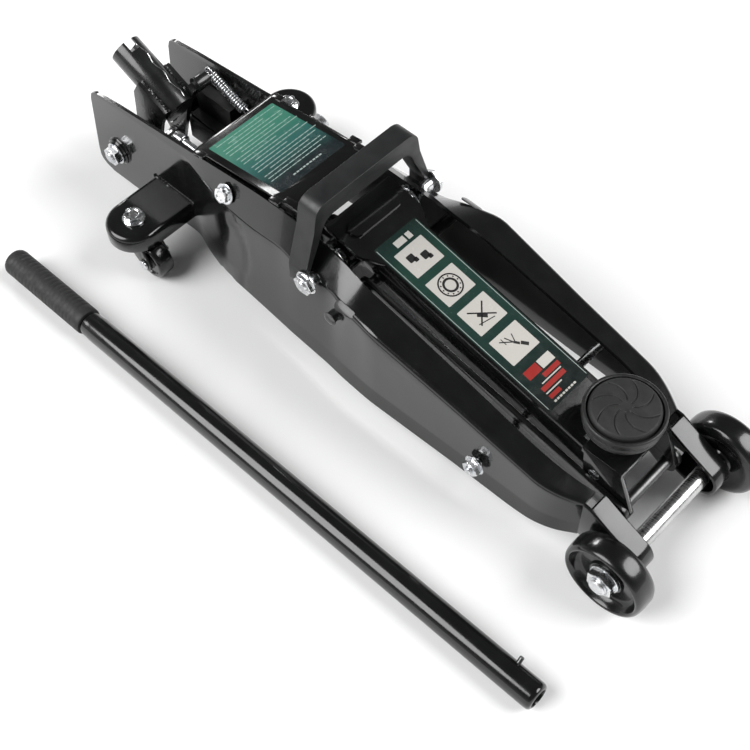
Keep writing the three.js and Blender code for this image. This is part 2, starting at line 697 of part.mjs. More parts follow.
piece('ram', cut(
  join(
    rod('x', RAM.radius, TANK.from + 5, RAM.crosshead - 12, 0, RAM.z, 24),
    block(RAM.crosshead - 14, RAM.crosshead, -5.7, 5.7, RAM.z - 9, RAM.z + 9),
    rod('y', 9, -5.7, 5.7, RAM.crosshead, RAM.z, 20),
  ),
  rod('y', 4.8, -10, 10, RAM.crosshead, RAM.z, 16),
), steel());
piece('crosshead_pin', join(
  rod('y', 4.5, -13, 13, RAM.crosshead, RAM.z, 16),
  rod('y', 6.5, 11.4, 13.4, RAM.crosshead, RAM.z, 16),
  rod('y', 6.5, -13.4, -11.4, RAM.crosshead, RAM.z, 16),
), steel());

// Push links: the front eye is a tall slot, because the lug pin rises and falls as the arm turns.
const slot = linkShape([RAM.eye, RAM.z - 2.8], 5.5, [RAM.eye, RAM.z + 2.9], 5.49);
const linkPlate = linkShape([RAM.crosshead, RAM.z], 8, [RAM.eye, RAM.z], 12);
pair('push_link', cut(
  slab('y', linkPlate, 7, 11),
  slab('y', slot, 5, 12, 6),
  rod('y', 4.8, 5, 12, RAM.crosshead, RAM.z, 16),
), darkSteel);

piece('pump_barrel', cut(
  join(
    rod('x', 12, -530, -480, 0, PUMP.z, 24),
    hexagon('x', 27, -530, -522, 0, PUMP.z),
  ),
  rod('x', 6.3, -540, -484, 0, PUMP.z, 20),
), steel());
const capFace = PUMP.rollerX + PUMP.rollerRadius + 0.6;
piece('pump_plunger', join(
  rod('x', 6, capFace + 1, -500, 0, PUMP.z, 16),
  rod('x', 9, capFace, capFace + 4, 0, PUMP.z, 20),
), steel());
const plungerSpring = piece('plunger_spring', solid(coil(8.2, 1, 4.5, 5.2, 8)), zinc());
plungerSpring.position.set(capFace + 5.6, 0, PUMP.z);
plungerSpring.rotation.y = Math.PI / 2;

piece('release_valve', join(
  rod('x', 4, -506, -464, -28, 98, 16),
  rod('x', 6.5, -512, -502, -28, 98, 20),
), zinc());
piece('filler_plug', join(
  rod('z', 4, 103, 114, -462, 0, 16),
  rod('z', 7, 112.3, 115.5, -462, 0, 20),
), rubber());
piece('safety_valve_cap', turned('x', [
  [0, 0], [5, 0], [6.5, 1.5], [6.5, 9.7], [0, 9.7],
], -510, -30, 74, 20), redPlastic());

// ---------------------------------------------------------------- handle socket and its yoke
// Drawn along its own axis: t from the lower end of the tube, rising to the rear.
const socketGroup = new THREE.Group();
socketGroup.position.set(-540, 0, 91);
socketGroup.rotation.y = SOCKET_SLOPE;
jack.add(socketGroup);

function socketLocal({ x, z }) {
  const [dx, dz] = [x + 540, z - 91];
  const [c, s] = [Math.cos(SOCKET_SLOPE), Math.sin(SOCKET_SLOPE)];
  return [dx * c - dz * s, dx * s + dz * c];
}
const [hingeT, hingeN] = socketLocal(SOCKET_PIVOT);
const [rollerT, rollerN] = socketLocal({ x: PUMP.rollerX, z: PUMP.z });

function yokeCheek(from, to) {
  const shape = new THREE.Shape();
  shape.moveTo(-2, 9);
  shape.lineTo(-38, 9);
  shape.lineTo(-40, -8);
  shape.absarc(hingeT, hingeN, 12, 2.6, 4.2, false);
  shape.absarc(rollerT, rollerN, 9, 4.0, 6.2, false);
  shape.lineTo(-2, -14);
  shape.closePath();
  return slab('y', shape, from, to, 6);
}
const socketBody = cut(
  join(
    cut(
      rod('x', SOCKET.outer, -SOCKET.length, 0, 0, 0, 24),
      rod('x', SOCKET.inner, -SOCKET.length - 5, -6, 0, 0, 24),
      block(-SOCKET.length - 5, -SOCKET.length + 11, -4.5, 4.5, 5, 20),
    ),
    yokeCheek(13.5, 18),
    yokeCheek(-18, -13.5),
    cut(
      rod('y', 7, 17.5, 30.5, -5, 19, 16),
      rod('y', 3.2, 25, 40, -5, 19, 12),
    ),
    block(-9, -1, 12, 20, 2, 18),
  ),
  rod('y', 6.3, -40, 40, hingeT, hingeN, 20),
  rod('y', 4.3, -40, 40, rollerT, rollerN, 16),
);
piece('handle_socket', socketBody, satinBlack(), socketGroup);

piece('socket_roller', join(
  rod('y', PUMP.rollerRadius, -13.2, 13.2, PUMP.rollerX, PUMP.z, 24),
  rod('y', 4, -20, 20, PUMP.rollerX, PUMP.z, 16),
), steel());
const socketBolt = join(
  rod('y', 6, 11, 55, SOCKET_PIVOT.x, SOCKET_PIVOT.z, 20),
  rod('y', 10.5, 50.8, 52.4, SOCKET_PIVOT.x, SOCKET_PIVOT.z, 24),
  hexagon('y', 17, 52.2, 60, SOCKET_PIVOT.x, SOCKET_PIVOT.z),
);
pair('socket_bolt', socketBolt, zinc);

// Return spring between the lug on the socket and the hook pin on the power unit.
const springFrom = new THREE.Vector3(-541, 36.5, 112.5);
const springTo = new THREE.Vector3(-489, 34, 97);
const springSpan = springTo.clone().sub(springFrom);
const springTurns = 12;
const socketSpring = piece('socket_spring', solid(
  coil(4.6, 0.9, springSpan.length() / springTurns, springTurns, 8),
), zinc());
socketSpring.position.copy(springFrom);
socketSpring.quaternion.setFromUnitVectors(new THREE.Vector3(0, 0, 1), springSpan.normalize());

// ---------------------------------------------------------------- loose pump handle
const handleGroup = new THREE.Group();
const handleRun = new THREE.Vector2(...HANDLE.to).sub(new THREE.Vector2(...HANDLE.from));
const handleLength = handleRun.length();
handleGroup.position.set(...HANDLE.from, HANDLE.radius + 1);
handleGroup.rotation.z = handleRun.angle();
jack.add(handleGroup);

// The locking pin near the inner end leans over to the jack's side.
const PIN_SETBACK = 26;
const PIN_LEAN = 50; // degrees
const leaning = (body) => body.rotate([-PIN_LEAN, 0, 0]);

piece('pump_handle', cut(
  turned('x', [
    [0, 4], [9, 4], [9, HANDLE.gripLength - 10], [11, HANDLE.gripLength + 1],
    [HANDLE.radius, HANDLE.gripLength + 4], [HANDLE.radius, handleLength - 3],
    [HANDLE.radius - 2, handleLength], [0, handleLength],
  ], 0, 0, 0, 24),
  leaning(rod('z', 2.3, 2, 20, handleLength - PIN_SETBACK, 0, 12)),
), blackPaint(), handleGroup);
piece('handle_grip', turned('x', [
  [0, 0], [HANDLE.radius, 0], [HANDLE.radius + 1, 3], [HANDLE.radius + 1, HANDLE.gripLength - 14],
  [HANDLE.radius + 0.4, HANDLE.gripLength - 10.4], [9.3, HANDLE.gripLength - 10.4], [9.3, 3.7],
  [0, 3.7],
], 0, 0, 0, 24), rubber(), handleGroup);
piece('handle_pin', leaning(
  rod('z', 2, 3, HANDLE.radius + 5, handleLength - PIN_SETBACK, 0, 12),
), zinc(), handleGroup);

// ---------------------------------------------------------------- origin
// Bounding-box bottom centre.
jack.updateMatrixWorld(true);
const bounds = new THREE.Box3().setFromObject(jack, true);
const centre = bounds.getCenter(new THREE.Vector3());
const model = new THREE.Group();
jack.position.set(-centre.x, -centre.y, -bounds.min.z);
model.add(jack);
model.updateMatrixWorld(true);

export default model;
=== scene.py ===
"""Looks of the hydraulic floor jack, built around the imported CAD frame.

Pieces are drawn in millimetres from the ground point below the front axle, as the frame's
own parts are, and moved into the frame's metres when their mesh is made.
"""
import json
import math
import random

import bmesh
import bpy
from mathutils import Matrix, Vector


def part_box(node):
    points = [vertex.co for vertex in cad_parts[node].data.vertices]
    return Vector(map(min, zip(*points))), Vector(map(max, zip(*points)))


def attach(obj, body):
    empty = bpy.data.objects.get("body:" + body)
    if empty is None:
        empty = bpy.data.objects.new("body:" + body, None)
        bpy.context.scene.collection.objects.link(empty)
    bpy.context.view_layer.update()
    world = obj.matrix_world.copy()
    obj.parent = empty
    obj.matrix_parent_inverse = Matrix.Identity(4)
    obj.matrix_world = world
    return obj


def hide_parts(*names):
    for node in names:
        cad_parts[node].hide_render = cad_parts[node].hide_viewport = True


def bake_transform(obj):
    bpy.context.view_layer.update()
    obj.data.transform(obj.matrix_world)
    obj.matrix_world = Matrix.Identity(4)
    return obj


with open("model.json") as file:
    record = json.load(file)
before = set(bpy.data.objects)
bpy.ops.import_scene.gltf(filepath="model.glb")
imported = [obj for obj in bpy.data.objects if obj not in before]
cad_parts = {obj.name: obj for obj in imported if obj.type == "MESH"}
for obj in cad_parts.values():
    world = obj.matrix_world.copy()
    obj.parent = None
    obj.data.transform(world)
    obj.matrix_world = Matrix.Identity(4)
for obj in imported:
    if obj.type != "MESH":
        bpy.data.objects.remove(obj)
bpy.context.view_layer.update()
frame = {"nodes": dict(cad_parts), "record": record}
random.seed(7)

MM = 0.001


def centre(node):
    low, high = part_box(node)
    return (Vector(low) + Vector(high)) / 2


axle_centre = centre("front_axle")
ORIGIN = Vector((axle_centre.x, axle_centre.y, 0.0))
TO_FRAME = Matrix.Translation(ORIGIN) @ Matrix.Scale(MM, 4)


def place_of(node):
    """Centre of a CAD node in the drawing's millimetres."""
    return (centre(node) - ORIGIN) / MM


# ------------------------------------------------------------------ driving places (mm)
AXLE = place_of("front_axle")
PIVOT = place_of("arm_shaft")
TIE = place_of("tie_bolt_nut")
SOCKET_PIVOT = place_of("socket_bolt_left")
ROD_PIVOT = place_of("radius_rod_shaft")
SADDLE = place_of("saddle_cup")
CASTER = place_of("caster_bolt_left")
CASTER_AXLE = place_of("caster_axle_left")
ARM_SLOPE = 0.215
SOCKET_SLOPE = 0.433
COVER_SLOPE = math.atan(0.134)
PLATE = 3.2


# ------------------------------------------------------------------ materials
class Nodes:
    """Short hand for building a material's node tree."""

    def __init__(self, name):
        self.material = bpy.data.materials.new(name)
        self.material.use_nodes = True
        self.tree = self.material.node_tree
        self.shader = self.tree.nodes["Principled BSDF"]
        self.coords = self.add("ShaderNodeTexCoord").outputs["Object"]

    def add(self, kind, **values):
        node = self.tree.nodes.new(kind)
        for key, value in values.items():
            if hasattr(node, key):
                setattr(node, key, value)
            else:
                node.inputs[key.replace("_", " ")].default_value = value
        return node

    def link(self, a, b):
        self.tree.links.new(a, b)

    def noise(self, scale, detail=4.0, roughness=0.55, stretch=None):
        node = self.add("ShaderNodeTexNoise", Scale=scale, Detail=detail, Roughness=roughness)
        source = self.coords
        if stretch:
            mapping = self.add("ShaderNodeMapping")
            mapping.inputs["Scale"].default_value = stretch
            self.link(self.coords, mapping.inputs["Vector"])
            source = mapping.outputs["Vector"]
        self.link(source, node.inputs["Vector"])
        return node.outputs["Fac"]

    def ramp(self, factor, stops):
        node = self.add("ShaderNodeValToRGB")
        elements = node.color_ramp.elements
        while len(elements) < len(stops):
            elements.new(0.5)
        for element, (position, colour) in zip(elements, stops):
            element.position = position
            element.color = colour if len(colour) == 4 else (*colour, 1.0)
        self.link(factor, node.inputs["Fac"])
        return node.outputs["Color"]

    def range(self, factor, low, high, start=0.0, stop=1.0):
        node = self.add("ShaderNodeMapRange")
        for key, value in (("From Min", start), ("From Max", stop), ("To Min", low), ("To Max", high)):
            node.inputs[key].default_value = value
        self.link(factor, node.inputs["Value"])
        return node.outputs["Result"]

    def mix(self, factor, a, b):
        node = self.add("ShaderNodeMix", data_type="RGBA")
        self.link(factor, node.inputs["Factor"])
        for socket, value in ((node.inputs["A"], a), (node.inputs["B"], b)):
            if isinstance(value, tuple):
                socket.default_value = (*value, 1.0)
            else:
                self.link(value, socket)
        return node.outputs["Result"]

    def bump(self, height, strength, distance):
        node = self.add("ShaderNodeBump", Strength=strength, Distance=distance)
        self.link(height, node.inputs["Height"])
        self.link(node.outputs["Normal"], self.shader.inputs["Normal"])

    def set(self, **values):
        for key, value in values.items():
            self.shader.inputs[key.replace("_", " ")].default_value = value


def grey(value):
    return (value, value, value)


def speck_mask(n, scale, threshold):
    """Sparse small specks, such as dust: 1 on a speck and 0 between them."""
    cells = n.add("ShaderNodeTexVoronoi", Scale=scale, Randomness=1.0)
    n.link(n.coords, cells.inputs["Vector"])
    return n.range(cells.outputs["Distance"], 1.0, 0.0, 0.0, threshold)


def enamel(name, base=0.005, rough=(0.10, 0.24), peel=0.05):
    """Gloss black stove enamel: orange peel, a thin bloom and a little dust."""
    n = Nodes(name)
    bloom = n.noise(38.0, 5.0)
    colour = n.ramp(bloom, [(0.3, grey(base * 0.7)), (0.62, (base * 1.1, base * 1.2, base * 1.15)),
                            (0.85, (base * 1.8, base * 2.0, base * 1.9))])
    dust = speck_mask(n, 420.0, 0.075)
    fine = n.noise(60.0, 2.0)
    dust_share = n.add("ShaderNodeMath", operation="MULTIPLY")
    n.link(dust, dust_share.inputs[0])
    n.link(n.range(fine, 0.0, 0.35, 0.5, 0.75), dust_share.inputs[1])
    n.link(n.mix(dust_share.outputs[0], colour, (0.24, 0.25, 0.24)), n.shader.inputs["Base Color"])
    n.link(n.range(n.noise(55.0, 6.0), rough[0], rough[1], 0.3, 0.75), n.shader.inputs["Roughness"])
    n.bump(n.noise(520.0, 2.0), peel, 0.0004)
    n.set(IOR=1.45, Coat_Weight=0.35, Coat_Roughness=0.05)
    return n.material


def moulded(name, base, rough, grain_scale=1600.0, grain=0.12):
    """Moulded plastic with a fine spark-eroded grain."""
    n = Nodes(name)
    shade = n.noise(30.0, 4.0)
    n.link(n.ramp(shade, [(0.3, tuple(c * 0.8 for c in base)), (0.75, tuple(c * 1.35 for c in base))]),
           n.shader.inputs["Base Color"])
    n.link(n.range(n.noise(90.0, 5.0), rough[0], rough[1], 0.3, 0.7), n.shader.inputs["Roughness"])
    n.bump(n.noise(grain_scale, 3.0, 0.6), grain, 0.0002)
    return n.material


def zinc_plate(name):
    """Bright zinc plate with drawn marks and dulled patches."""
    n = Nodes(name)
    cloud = n.noise(140.0, 5.0, 0.6)
    n.link(n.ramp(cloud, [(0.25, (0.50, 0.52, 0.55)), (0.55, (0.78, 0.79, 0.80)),
                          (0.8, (0.90, 0.90, 0.88))]), n.shader.inputs["Base Color"])
    n.link(n.range(n.noise(300.0, 4.0), 0.13, 0.34, 0.3, 0.7), n.shader.inputs["Roughness"])
    n.bump(n.noise(1500.0, 3.0), 0.10, 0.0001)
    n.set(Metallic=1.0)
    return n.material


def turned_steel(name, base=0.62, axis_scale=(60.0, 2600.0, 60.0), rough=(0.16, 0.36)):
    """Bare turned steel with fine lathe marks across its axis."""
    n = Nodes(name)
    marks = n.noise(1.0, 3.0, 0.6, stretch=axis_scale)
    stain = n.noise(45.0, 5.0)
    n.link(n.ramp(stain, [(0.3, grey(base * 0.72)), (0.6, grey(base)), (0.85, grey(base * 1.25))]),
           n.shader.inputs["Base Color"])
    n.link(n.range(marks, rough[0], rough[1], 0.3, 0.7), n.shader.inputs["Roughness"])
    n.bump(marks, 0.12, 0.0001)
    n.set(Metallic=1.0)
    return n.material


def painted_iron(name):
    """As-cast iron under black paint: pebbled skin."""
    n = Nodes(name)
    skin = n.noise(420.0, 4.0, 0.6)
    n.link(n.ramp(n.noise(60.0, 5.0), [(0.3, grey(0.007)), (0.6, (0.014, 0.0145, 0.014)), (0.85, grey(0.035))]),
           n.shader.inputs["Base Color"])
    n.link(n.range(skin, 0.28, 0.5, 0.3, 0.7), n.shader.inputs["Roughness"])
    n.bump(skin, 0.3, 0.0004)
    return n.material


def rubber(name, base=0.03):
    """Dull black rubber with chalky bloom and fine stipple."""
    n = Nodes(name)
    n.link(n.ramp(n.noise(80.0, 6.0), [(0.3, grey(base * 0.8)), (0.6, (base * 1.3, base * 1.35, base * 1.3)),
                                       (0.85, grey(base * 2.3))]), n.shader.inputs["Base Color"])
    n.link(n.range(n.noise(200.0, 4.0), 0.5, 0.72, 0.3, 0.7), n.shader.inputs["Roughness"])
    n.bump(n.noise(1800.0, 2.0), 0.25, 0.0002)
    return n.material


LOOKS = {
    "black_gloss": enamel("black_gloss_enamel"),
    "black_wheel": enamel("black_wheel_nylon", base=0.005, rough=(0.14, 0.3), peel=0.03),
    "black_satin": enamel("black_satin_paint", base=0.008, rough=(0.22, 0.4), peel=0.12),
    "handle_black": moulded("carry_handle_matte", (0.010, 0.0105, 0.011), (0.34, 0.48)),
    "rubber_black": rubber("rubber_dull", base=0.011),
    "zinc_bright": zinc_plate("zinc_bright_plate"),
    "steel_bare": turned_steel("steel_turned_bare"),
    "steel_dark": turned_steel("steel_black_oxide", base=0.14, rough=(0.25, 0.45)),
    "iron_black": painted_iron("iron_black_cast"),
    "red_cap": moulded("red_cap_moulded", (0.40, 0.03, 0.02), (0.35, 0.5)),
}
slot_of = {part["node"]: part["material_slot"] for part in frame["record"]["subparts"]}
for node_name, node_object in frame["nodes"].items():
    look = LOOKS[slot_of[node_name]]
    for material_slot in node_object.material_slots:
        material_slot.material = look


# ------------------------------------------------------------------ building pieces
def keep(name, mesh, body, slot, *nodes, look=None, smooth=32.0, modifiers=()):
    """Finish a mesh as a piece of the object; `nodes` are the CAD nodes it stands for."""
    piece = bpy.data.objects.new(name, mesh)
    bpy.context.scene.collection.objects.link(piece)
    if modifiers:
        for kind, values in modifiers:
            modifier = piece.modifiers.new(kind.lower(), kind)
            for key, value in values.items():
                setattr(modifier, key, value)
        evaluated = piece.evaluated_get(bpy.context.evaluated_depsgraph_get())
        finished = bpy.data.meshes.new_from_object(evaluated)
        piece.modifiers.clear()
        piece.data = finished
    piece.data.name = name
    for polygon in piece.data.polygons:
        polygon.use_smooth = True
    piece.data.set_sharp_from_angle(angle=math.radians(smooth))
    if not piece.data.materials:
        piece.data.materials.append(look or LOOKS[slot])
    if isinstance(body, str):
        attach(piece, body)
    else:
        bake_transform(piece)
    if nodes:
        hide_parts(*nodes)
    return piece


def to_mesh(bm, name, matrix=None):
    """Write a bmesh drawn in millimetres as a mesh in the frame's metres."""
    bmesh.ops.recalc_face_normals(bm, faces=bm.faces)
    bm.transform(TO_FRAME @ matrix if matrix else TO_FRAME)
    mesh = bpy.data.meshes.new(name)
    bm.to_mesh(mesh)
    bm.free()
    return mesh


def rounded(width, segments=3, angle=28.0):
    """A bevel modifier in millimetres for the edges sharper than `angle`."""
    return ("BEVEL", {"width": width * MM, "segments": segments, "limit_method": "ANGLE",
                      "angle_limit": math.radians(angle), "use_clamp_overlap": True,
                      "miter_outer": "MITER_ARC"})


def refine(node, body, width=0.6, segments=2, look=None):
    """Replace a CAD node by a copy of its own shape with its edges rounded."""
    bm = bmesh.new()
    bm.from_mesh(frame["nodes"][node].data)
    bmesh.ops.remove_doubles(bm, verts=bm.verts, dist=1e-6)
    bmesh.ops.dissolve_limit(bm, angle_limit=math.radians(0.8), verts=bm.verts, edges=bm.edges)
    mesh = bpy.data.meshes.new(node + "_skin")
    bm.to_mesh(mesh)
    bm.free()
    return keep(node + "_skin", mesh, body, slot_of[node], node, look=look,
                modifiers=[rounded(width, segments)])


def aim(point, direction):
    """Matrix that puts local +Z along `direction` with the local origin at `point`."""
    turn = Vector(direction).normalized().to_track_quat("Z", "Y").to_matrix().to_4x4()
    return Matrix.Translation(Vector(point)) @ turn


def ring(bm, points):
    return [bm.verts.new(point) for point in points]


def bridge(bm, first, second):
    count = len(first)
    for i in range(count):
        j = (i + 1) % count
        bm.faces.new((first[i], first[j], second[j], second[i]))


def add_turned(bm, profile, matrix=Matrix.Identity(4), segments=72, across_flats=0.0):
    """Revolve (radius, height) pairs about local Z. With `across_flats` the radius is also kept
    inside a hexagon, which gives a nut its flats and its chamfer arcs. Ends at radius 0 close."""
    first_vert = len(bm.verts)
    rings = []
    for radius, height in profile:
        if radius < 1e-6:
            rings.append([bm.verts.new((0, 0, height))])
            continue
        points = []
        for i in range(segments):
            angle = 2 * math.pi * i / segments
            reach = radius
            if across_flats:
                sector = (angle + math.pi / 6) % (math.pi / 3) - math.pi / 6
                reach = min(radius, across_flats / 2 / math.cos(sector))
            points.append((reach * math.cos(angle), reach * math.sin(angle), height))
        rings.append(ring(bm, points))
    closed = len(rings[0]) > 1 and len(rings[-1]) > 1
    pairs = list(zip(rings, rings[1:])) + ([(rings[-1], rings[0])] if closed else [])
    for a, b in pairs:
        if len(a) == 1 and len(b) == 1:
            continue
        if len(a) == 1 or len(b) == 1:
            tip, loop = (a[0], b) if len(a) == 1 else (b[0], a)
            for i in range(len(loop)):
                bm.faces.new((tip, loop[i], loop[(i + 1) % len(loop)]))
        else:
            bridge(bm, a, b)
    bm.verts.ensure_lookup_table()
    bmesh.ops.transform(bm, matrix=matrix, verts=bm.verts[first_vert:])


def add_prism(bm, outline, low, high, matrix=Matrix.Identity(4)):
    first = len(bm.verts)
    bottom = ring(bm, [(x, y, low) for x, y in outline])
    top = ring(bm, [(x, y, high) for x, y in outline])
    bm.faces.new(bottom)
    bm.faces.new(top)
    bridge(bm, bottom, top)
    bm.verts.ensure_lookup_table()
    bmesh.ops.transform(bm, matrix=matrix, verts=bm.verts[first:])


def add_tube(bm, points, radius, sides=12, closed=False):
    """Sweep a round section along a path."""
    points = [Vector(p) for p in points]
    count = len(points)
    normal = None
    rings = []
    for i, point in enumerate(points):
        ahead = points[(i + 1) % count] if closed else points[min(i + 1, count - 1)]
        behind = points[i - 1] if closed or i else points[0]
        tangent = (ahead - behind).normalized()
        if normal is None:
            normal = tangent.orthogonal().normalized()
        normal = (normal - tangent * normal.dot(tangent)).normalized()
        side = tangent.cross(normal)
        size = radius(i / max(count - 1, 1)) if callable(radius) else radius
        rings.append(ring(bm, [point + size * (math.cos(a) * normal + math.sin(a) * side)
                               for a in (2 * math.pi * k / sides for k in range(sides))]))
    for a, b in zip(rings, rings[1:]):
        bridge(bm, a, b)
    if closed:
        bridge(bm, rings[-1], rings[0])
    else:
        bm.faces.new(rings[0])
        bm.faces.new(rings[-1])


def arc(centre_point, radius, start, stop, steps):
    """Points on an arc, in degrees."""
    return [(centre_point[0] + radius * math.cos(math.radians(a)),
             centre_point[1] + radius * math.sin(math.radians(a)))
            for a in (start + (stop - start) * i / steps for i in range(steps + 1))]


def fillet(corners, radii, steps=6):
    """Round the inner corners of an open polyline of (a, b) pairs."""
    points = [Vector(corners[0])]
    for before, corner, after, radius in zip(corners, corners[1:], corners[2:], radii):
        corner, a, b = Vector(corner), Vector(before), Vector(after)
        u, v = (a - corner).normalized(), (b - corner).normalized()
        half = math.acos(max(-1.0, min(1.0, u.dot(v)))) / 2
        reach = max(radius / math.tan(half), 1.5)
        reach = min(reach, 0.45 * (a - corner).length, 0.45 * (b - corner).length)
        start, stop = corner + u * reach, corner + v * reach
        for i in range(steps + 1):
            t = i / steps
            points.append((1 - t) ** 2 * start + 2 * t * (1 - t) * corner + t * t * stop)
    points.append(Vector(corners[-1]))
    return points


# ------------------------------------------------------------------ fasteners
def thread(radius, start, stop, pitch=1.25):
    """Profile of a threaded end, closed at the tip by a chamfer."""
    profile = [(radius, start)]
    height = start
    while height + pitch < stop - 1.0:
        profile += [(radius - 0.55, height + 0.5 * pitch), (radius, height + pitch)]
        height += pitch
    return profile + [(radius, stop - 0.9), (radius - 0.9, stop), (0, stop)]


def hexagon_profile(across, low, high, bore=0.0):
    corner = across / math.sqrt(3)
    return [(bore, low), (corner - 1.1, low), (corner + 0.1, low + 0.7),
            (corner + 0.1, high - 0.9), (corner - 0.35, high - 0.55), (across / 2 - 0.25, high - 0.1),
            (across / 2 - 0.8, high), (bore, high)]


def add_fastener(bm, point, direction, across, washer=None, head=(1.6, 7.0), stud=None,
                 dished=False):
    """Washer, hexagon and threaded end, drawn outwards from a seat at `point`."""
    place = aim(point, direction) @ Matrix.Rotation(random.uniform(0, 1.0), 4, "Z")
    if washer:
        radius, thickness = washer
        add_turned(bm, [(0, 0), (radius - 0.3, 0), (radius, 0.3), (radius, thickness - 0.35),
                        (radius - 0.4, thickness), (0, thickness)], place)
    low, high = head
    profile = hexagon_profile(across, low, high)
    if dished:
        flat = across / 2
        profile = profile[:-1] + [(flat - 2.2, high), (flat - 3.0, high - 0.6), (0, high - 0.7)]
    elif stud:
        profile = profile[:-1] + [(stud[0] + 1.0, high), (stud[0] + 0.5, high - 0.5), (0, high - 0.5)]
    add_turned(bm, profile, place, across_flats=across)
    if stud:
        add_turned(bm, [(0, high - 1.0)] + thread(stud[0], high - 1.0, stud[1]), place, segments=40)


def fastener(name, body, slot, node, *parts):
    bm = bmesh.new()
    for part in parts:
        add_fastener(bm, **part)
    return keep(name, to_mesh(bm, name), body, slot, node, smooth=25.0)


# ------------------------------------------------------------------ side plates
STATIONS = [
    (-614, 47, 10, 47, 40, 47, 104, 47, 105.5), (-560, 47, 12, 47, 40, 47, 109, 46.6, 113.5),
    (-475, 47, 17, 47, 40, 47, 113, 46, 122.5), (-455, 55, 19, 55, 41, 51, 108, 46, 125.5),
    (-420, 66, 26, 64, 43, 56, 103, 46, 130), (-385, 68.5, 27, 66.5, 43, 58.5, 105, 46, 134),
    (-350, 71, 27, 69, 43, 61, 113, 46, 135), (-330, 72.5, 27, 70.5, 43, 64.5, 113, 46.5, 135.5),
    (-288, 74.5, 27, 72.5, 43, 65.5, 114, 48.5, 132), (-268, 76.5, 27, 74.5, 43, 72.5, 117, 50, 126),
    (-237, 78, 27, 76, 43, 78, 121, 51, 121.5), (-150, 75, 27, 73, 43, 73.5, 99, 51.5, 102),
    (-91, 74, 27, 71.5, 43, 71.5, 84.3, 52, 88), (-72, 72.5, 27, 70.8, 42.5, 70.8, 79.6, 50.5, 82.6),
    (-55, 67, 27, 65.5, 42, 65.5, 75.2, 48, 77.5), (-40, 57.5, 27, 57.5, 42, 57.5, 71.5, 44, 73),
]


def station(x):
    """Section of the plate at x, straight between the drawn sections."""
    x = min(max(x, STATIONS[0][0]), STATIONS[-1][0])
    for a, b in zip(STATIONS, STATIONS[1:]):
        if x <= b[0]:
            t = (x - a[0]) / (b[0] - a[0])
            return [p + (q - p) * t for p, q in zip(a[1:], b[1:])]
    return list(STATIONS[-1][1:])


def eased_station(x, reach=7.0):
    """The same, with the pressed corners along the plate eased over `reach`."""
    reach = min(reach, x - STATIONS[0][0], STATIONS[-1][0] - x)
    rows = [station(x + reach * k / 4) for k in range(-4, 5)]
    return [sum(values) / len(rows) for values in zip(*rows)]


def tail_limits(x):
    """Lowest and highest z of the rounded tail at x."""
    low, high = 8.0, 150.0
    if x < -598:
        low = 12 + 12 * (1 - math.sqrt(max(0.0, 1 - ((-598 - x) / 14) ** 2)))
    if x < -596:
        high = 107 - 5.2 * ((-596 - x) / 8) ** 2 if x > -604 else max(101.8 - 9.3 * (-604 - x), 26)
    return low, high


STATION_PITCH = 3.5
CRESCENT = {"x": -428, "z": 62, "radius": 38, "depth": 1.1, "spread": 2.2}
SIDEWAYS = Matrix(((1, 0, 0, 0), (0, 0, 1, 0), (0, 1, 0, 0), (0, 0, 0, 1)))


def crescent_depth(x, z):
    if x <= CRESCENT["x"]:
        return 0.0
    off_line = abs(math.hypot(x - CRESCENT["x"], z - CRESCENT["z"]) - CRESCENT["radius"])
    return CRESCENT["depth"] * math.exp(-(off_line / CRESCENT["spread"]) ** 2)


def plate_pressing(side, word):
    """Pressed channel: rounded folds, eased corners and the crescent pressed in its web."""
    bm = bmesh.new()
    xs = [-611.6, -611, -610, -608.5, -606.5, -604.5, -602, -599, -596, -592]
    steps = int((588 - 40) / STATION_PITCH) + 1
    xs += [-588 + STATION_PITCH * i for i in range(steps)] + [-40]
    rings = []
    for x in xs:
        values = eased_station(x)
        outer = fillet(list(zip(values[::2], values[1::2])), (9, 5.5), 6)
        web = [outer[7].lerp(outer[8], t / 9) for t in range(1, 9)]
        outer = outer[:8] + web + outer[8:]
        normals = []
        for i in range(len(outer)):
            along = (outer[min(i + 1, len(outer) - 1)] - outer[max(i - 1, 0)]).normalized()
            normals.append(Vector((-along.y, along.x)))
        low, high = tail_limits(x)
        depth = [crescent_depth(x, p.y) for p in outer]
        skin = [Vector((p.x - d, min(max(p.y, low), high))) for p, d in zip(outer, depth)]
        back = [Vector((p.x + PLATE * n.x - d, min(max(p.y + PLATE * n.y, low), high)))
                for p, n, d in zip(outer, normals, depth)]
        rings.append(ring(bm, [(x, side * p.x, p.y) for p in skin + back[::-1]]))
    for a, b in zip(rings, rings[1:]):
        bridge(bm, a, b)
    half = len(rings[0]) // 2
    for end in (rings[0], rings[-1]):
        for i in range(half - 1):
            bm.faces.new((end[i], end[i + 1], end[-2 - i], end[-1 - i]))
    bmesh.ops.remove_doubles(bm, verts=bm.verts, dist=0.02)
    name = f"side_plate_{word}_pressing"
    keep(name, to_mesh(bm, name), "frame", "black_gloss", f"side_plate_{word}", smooth=38.0)


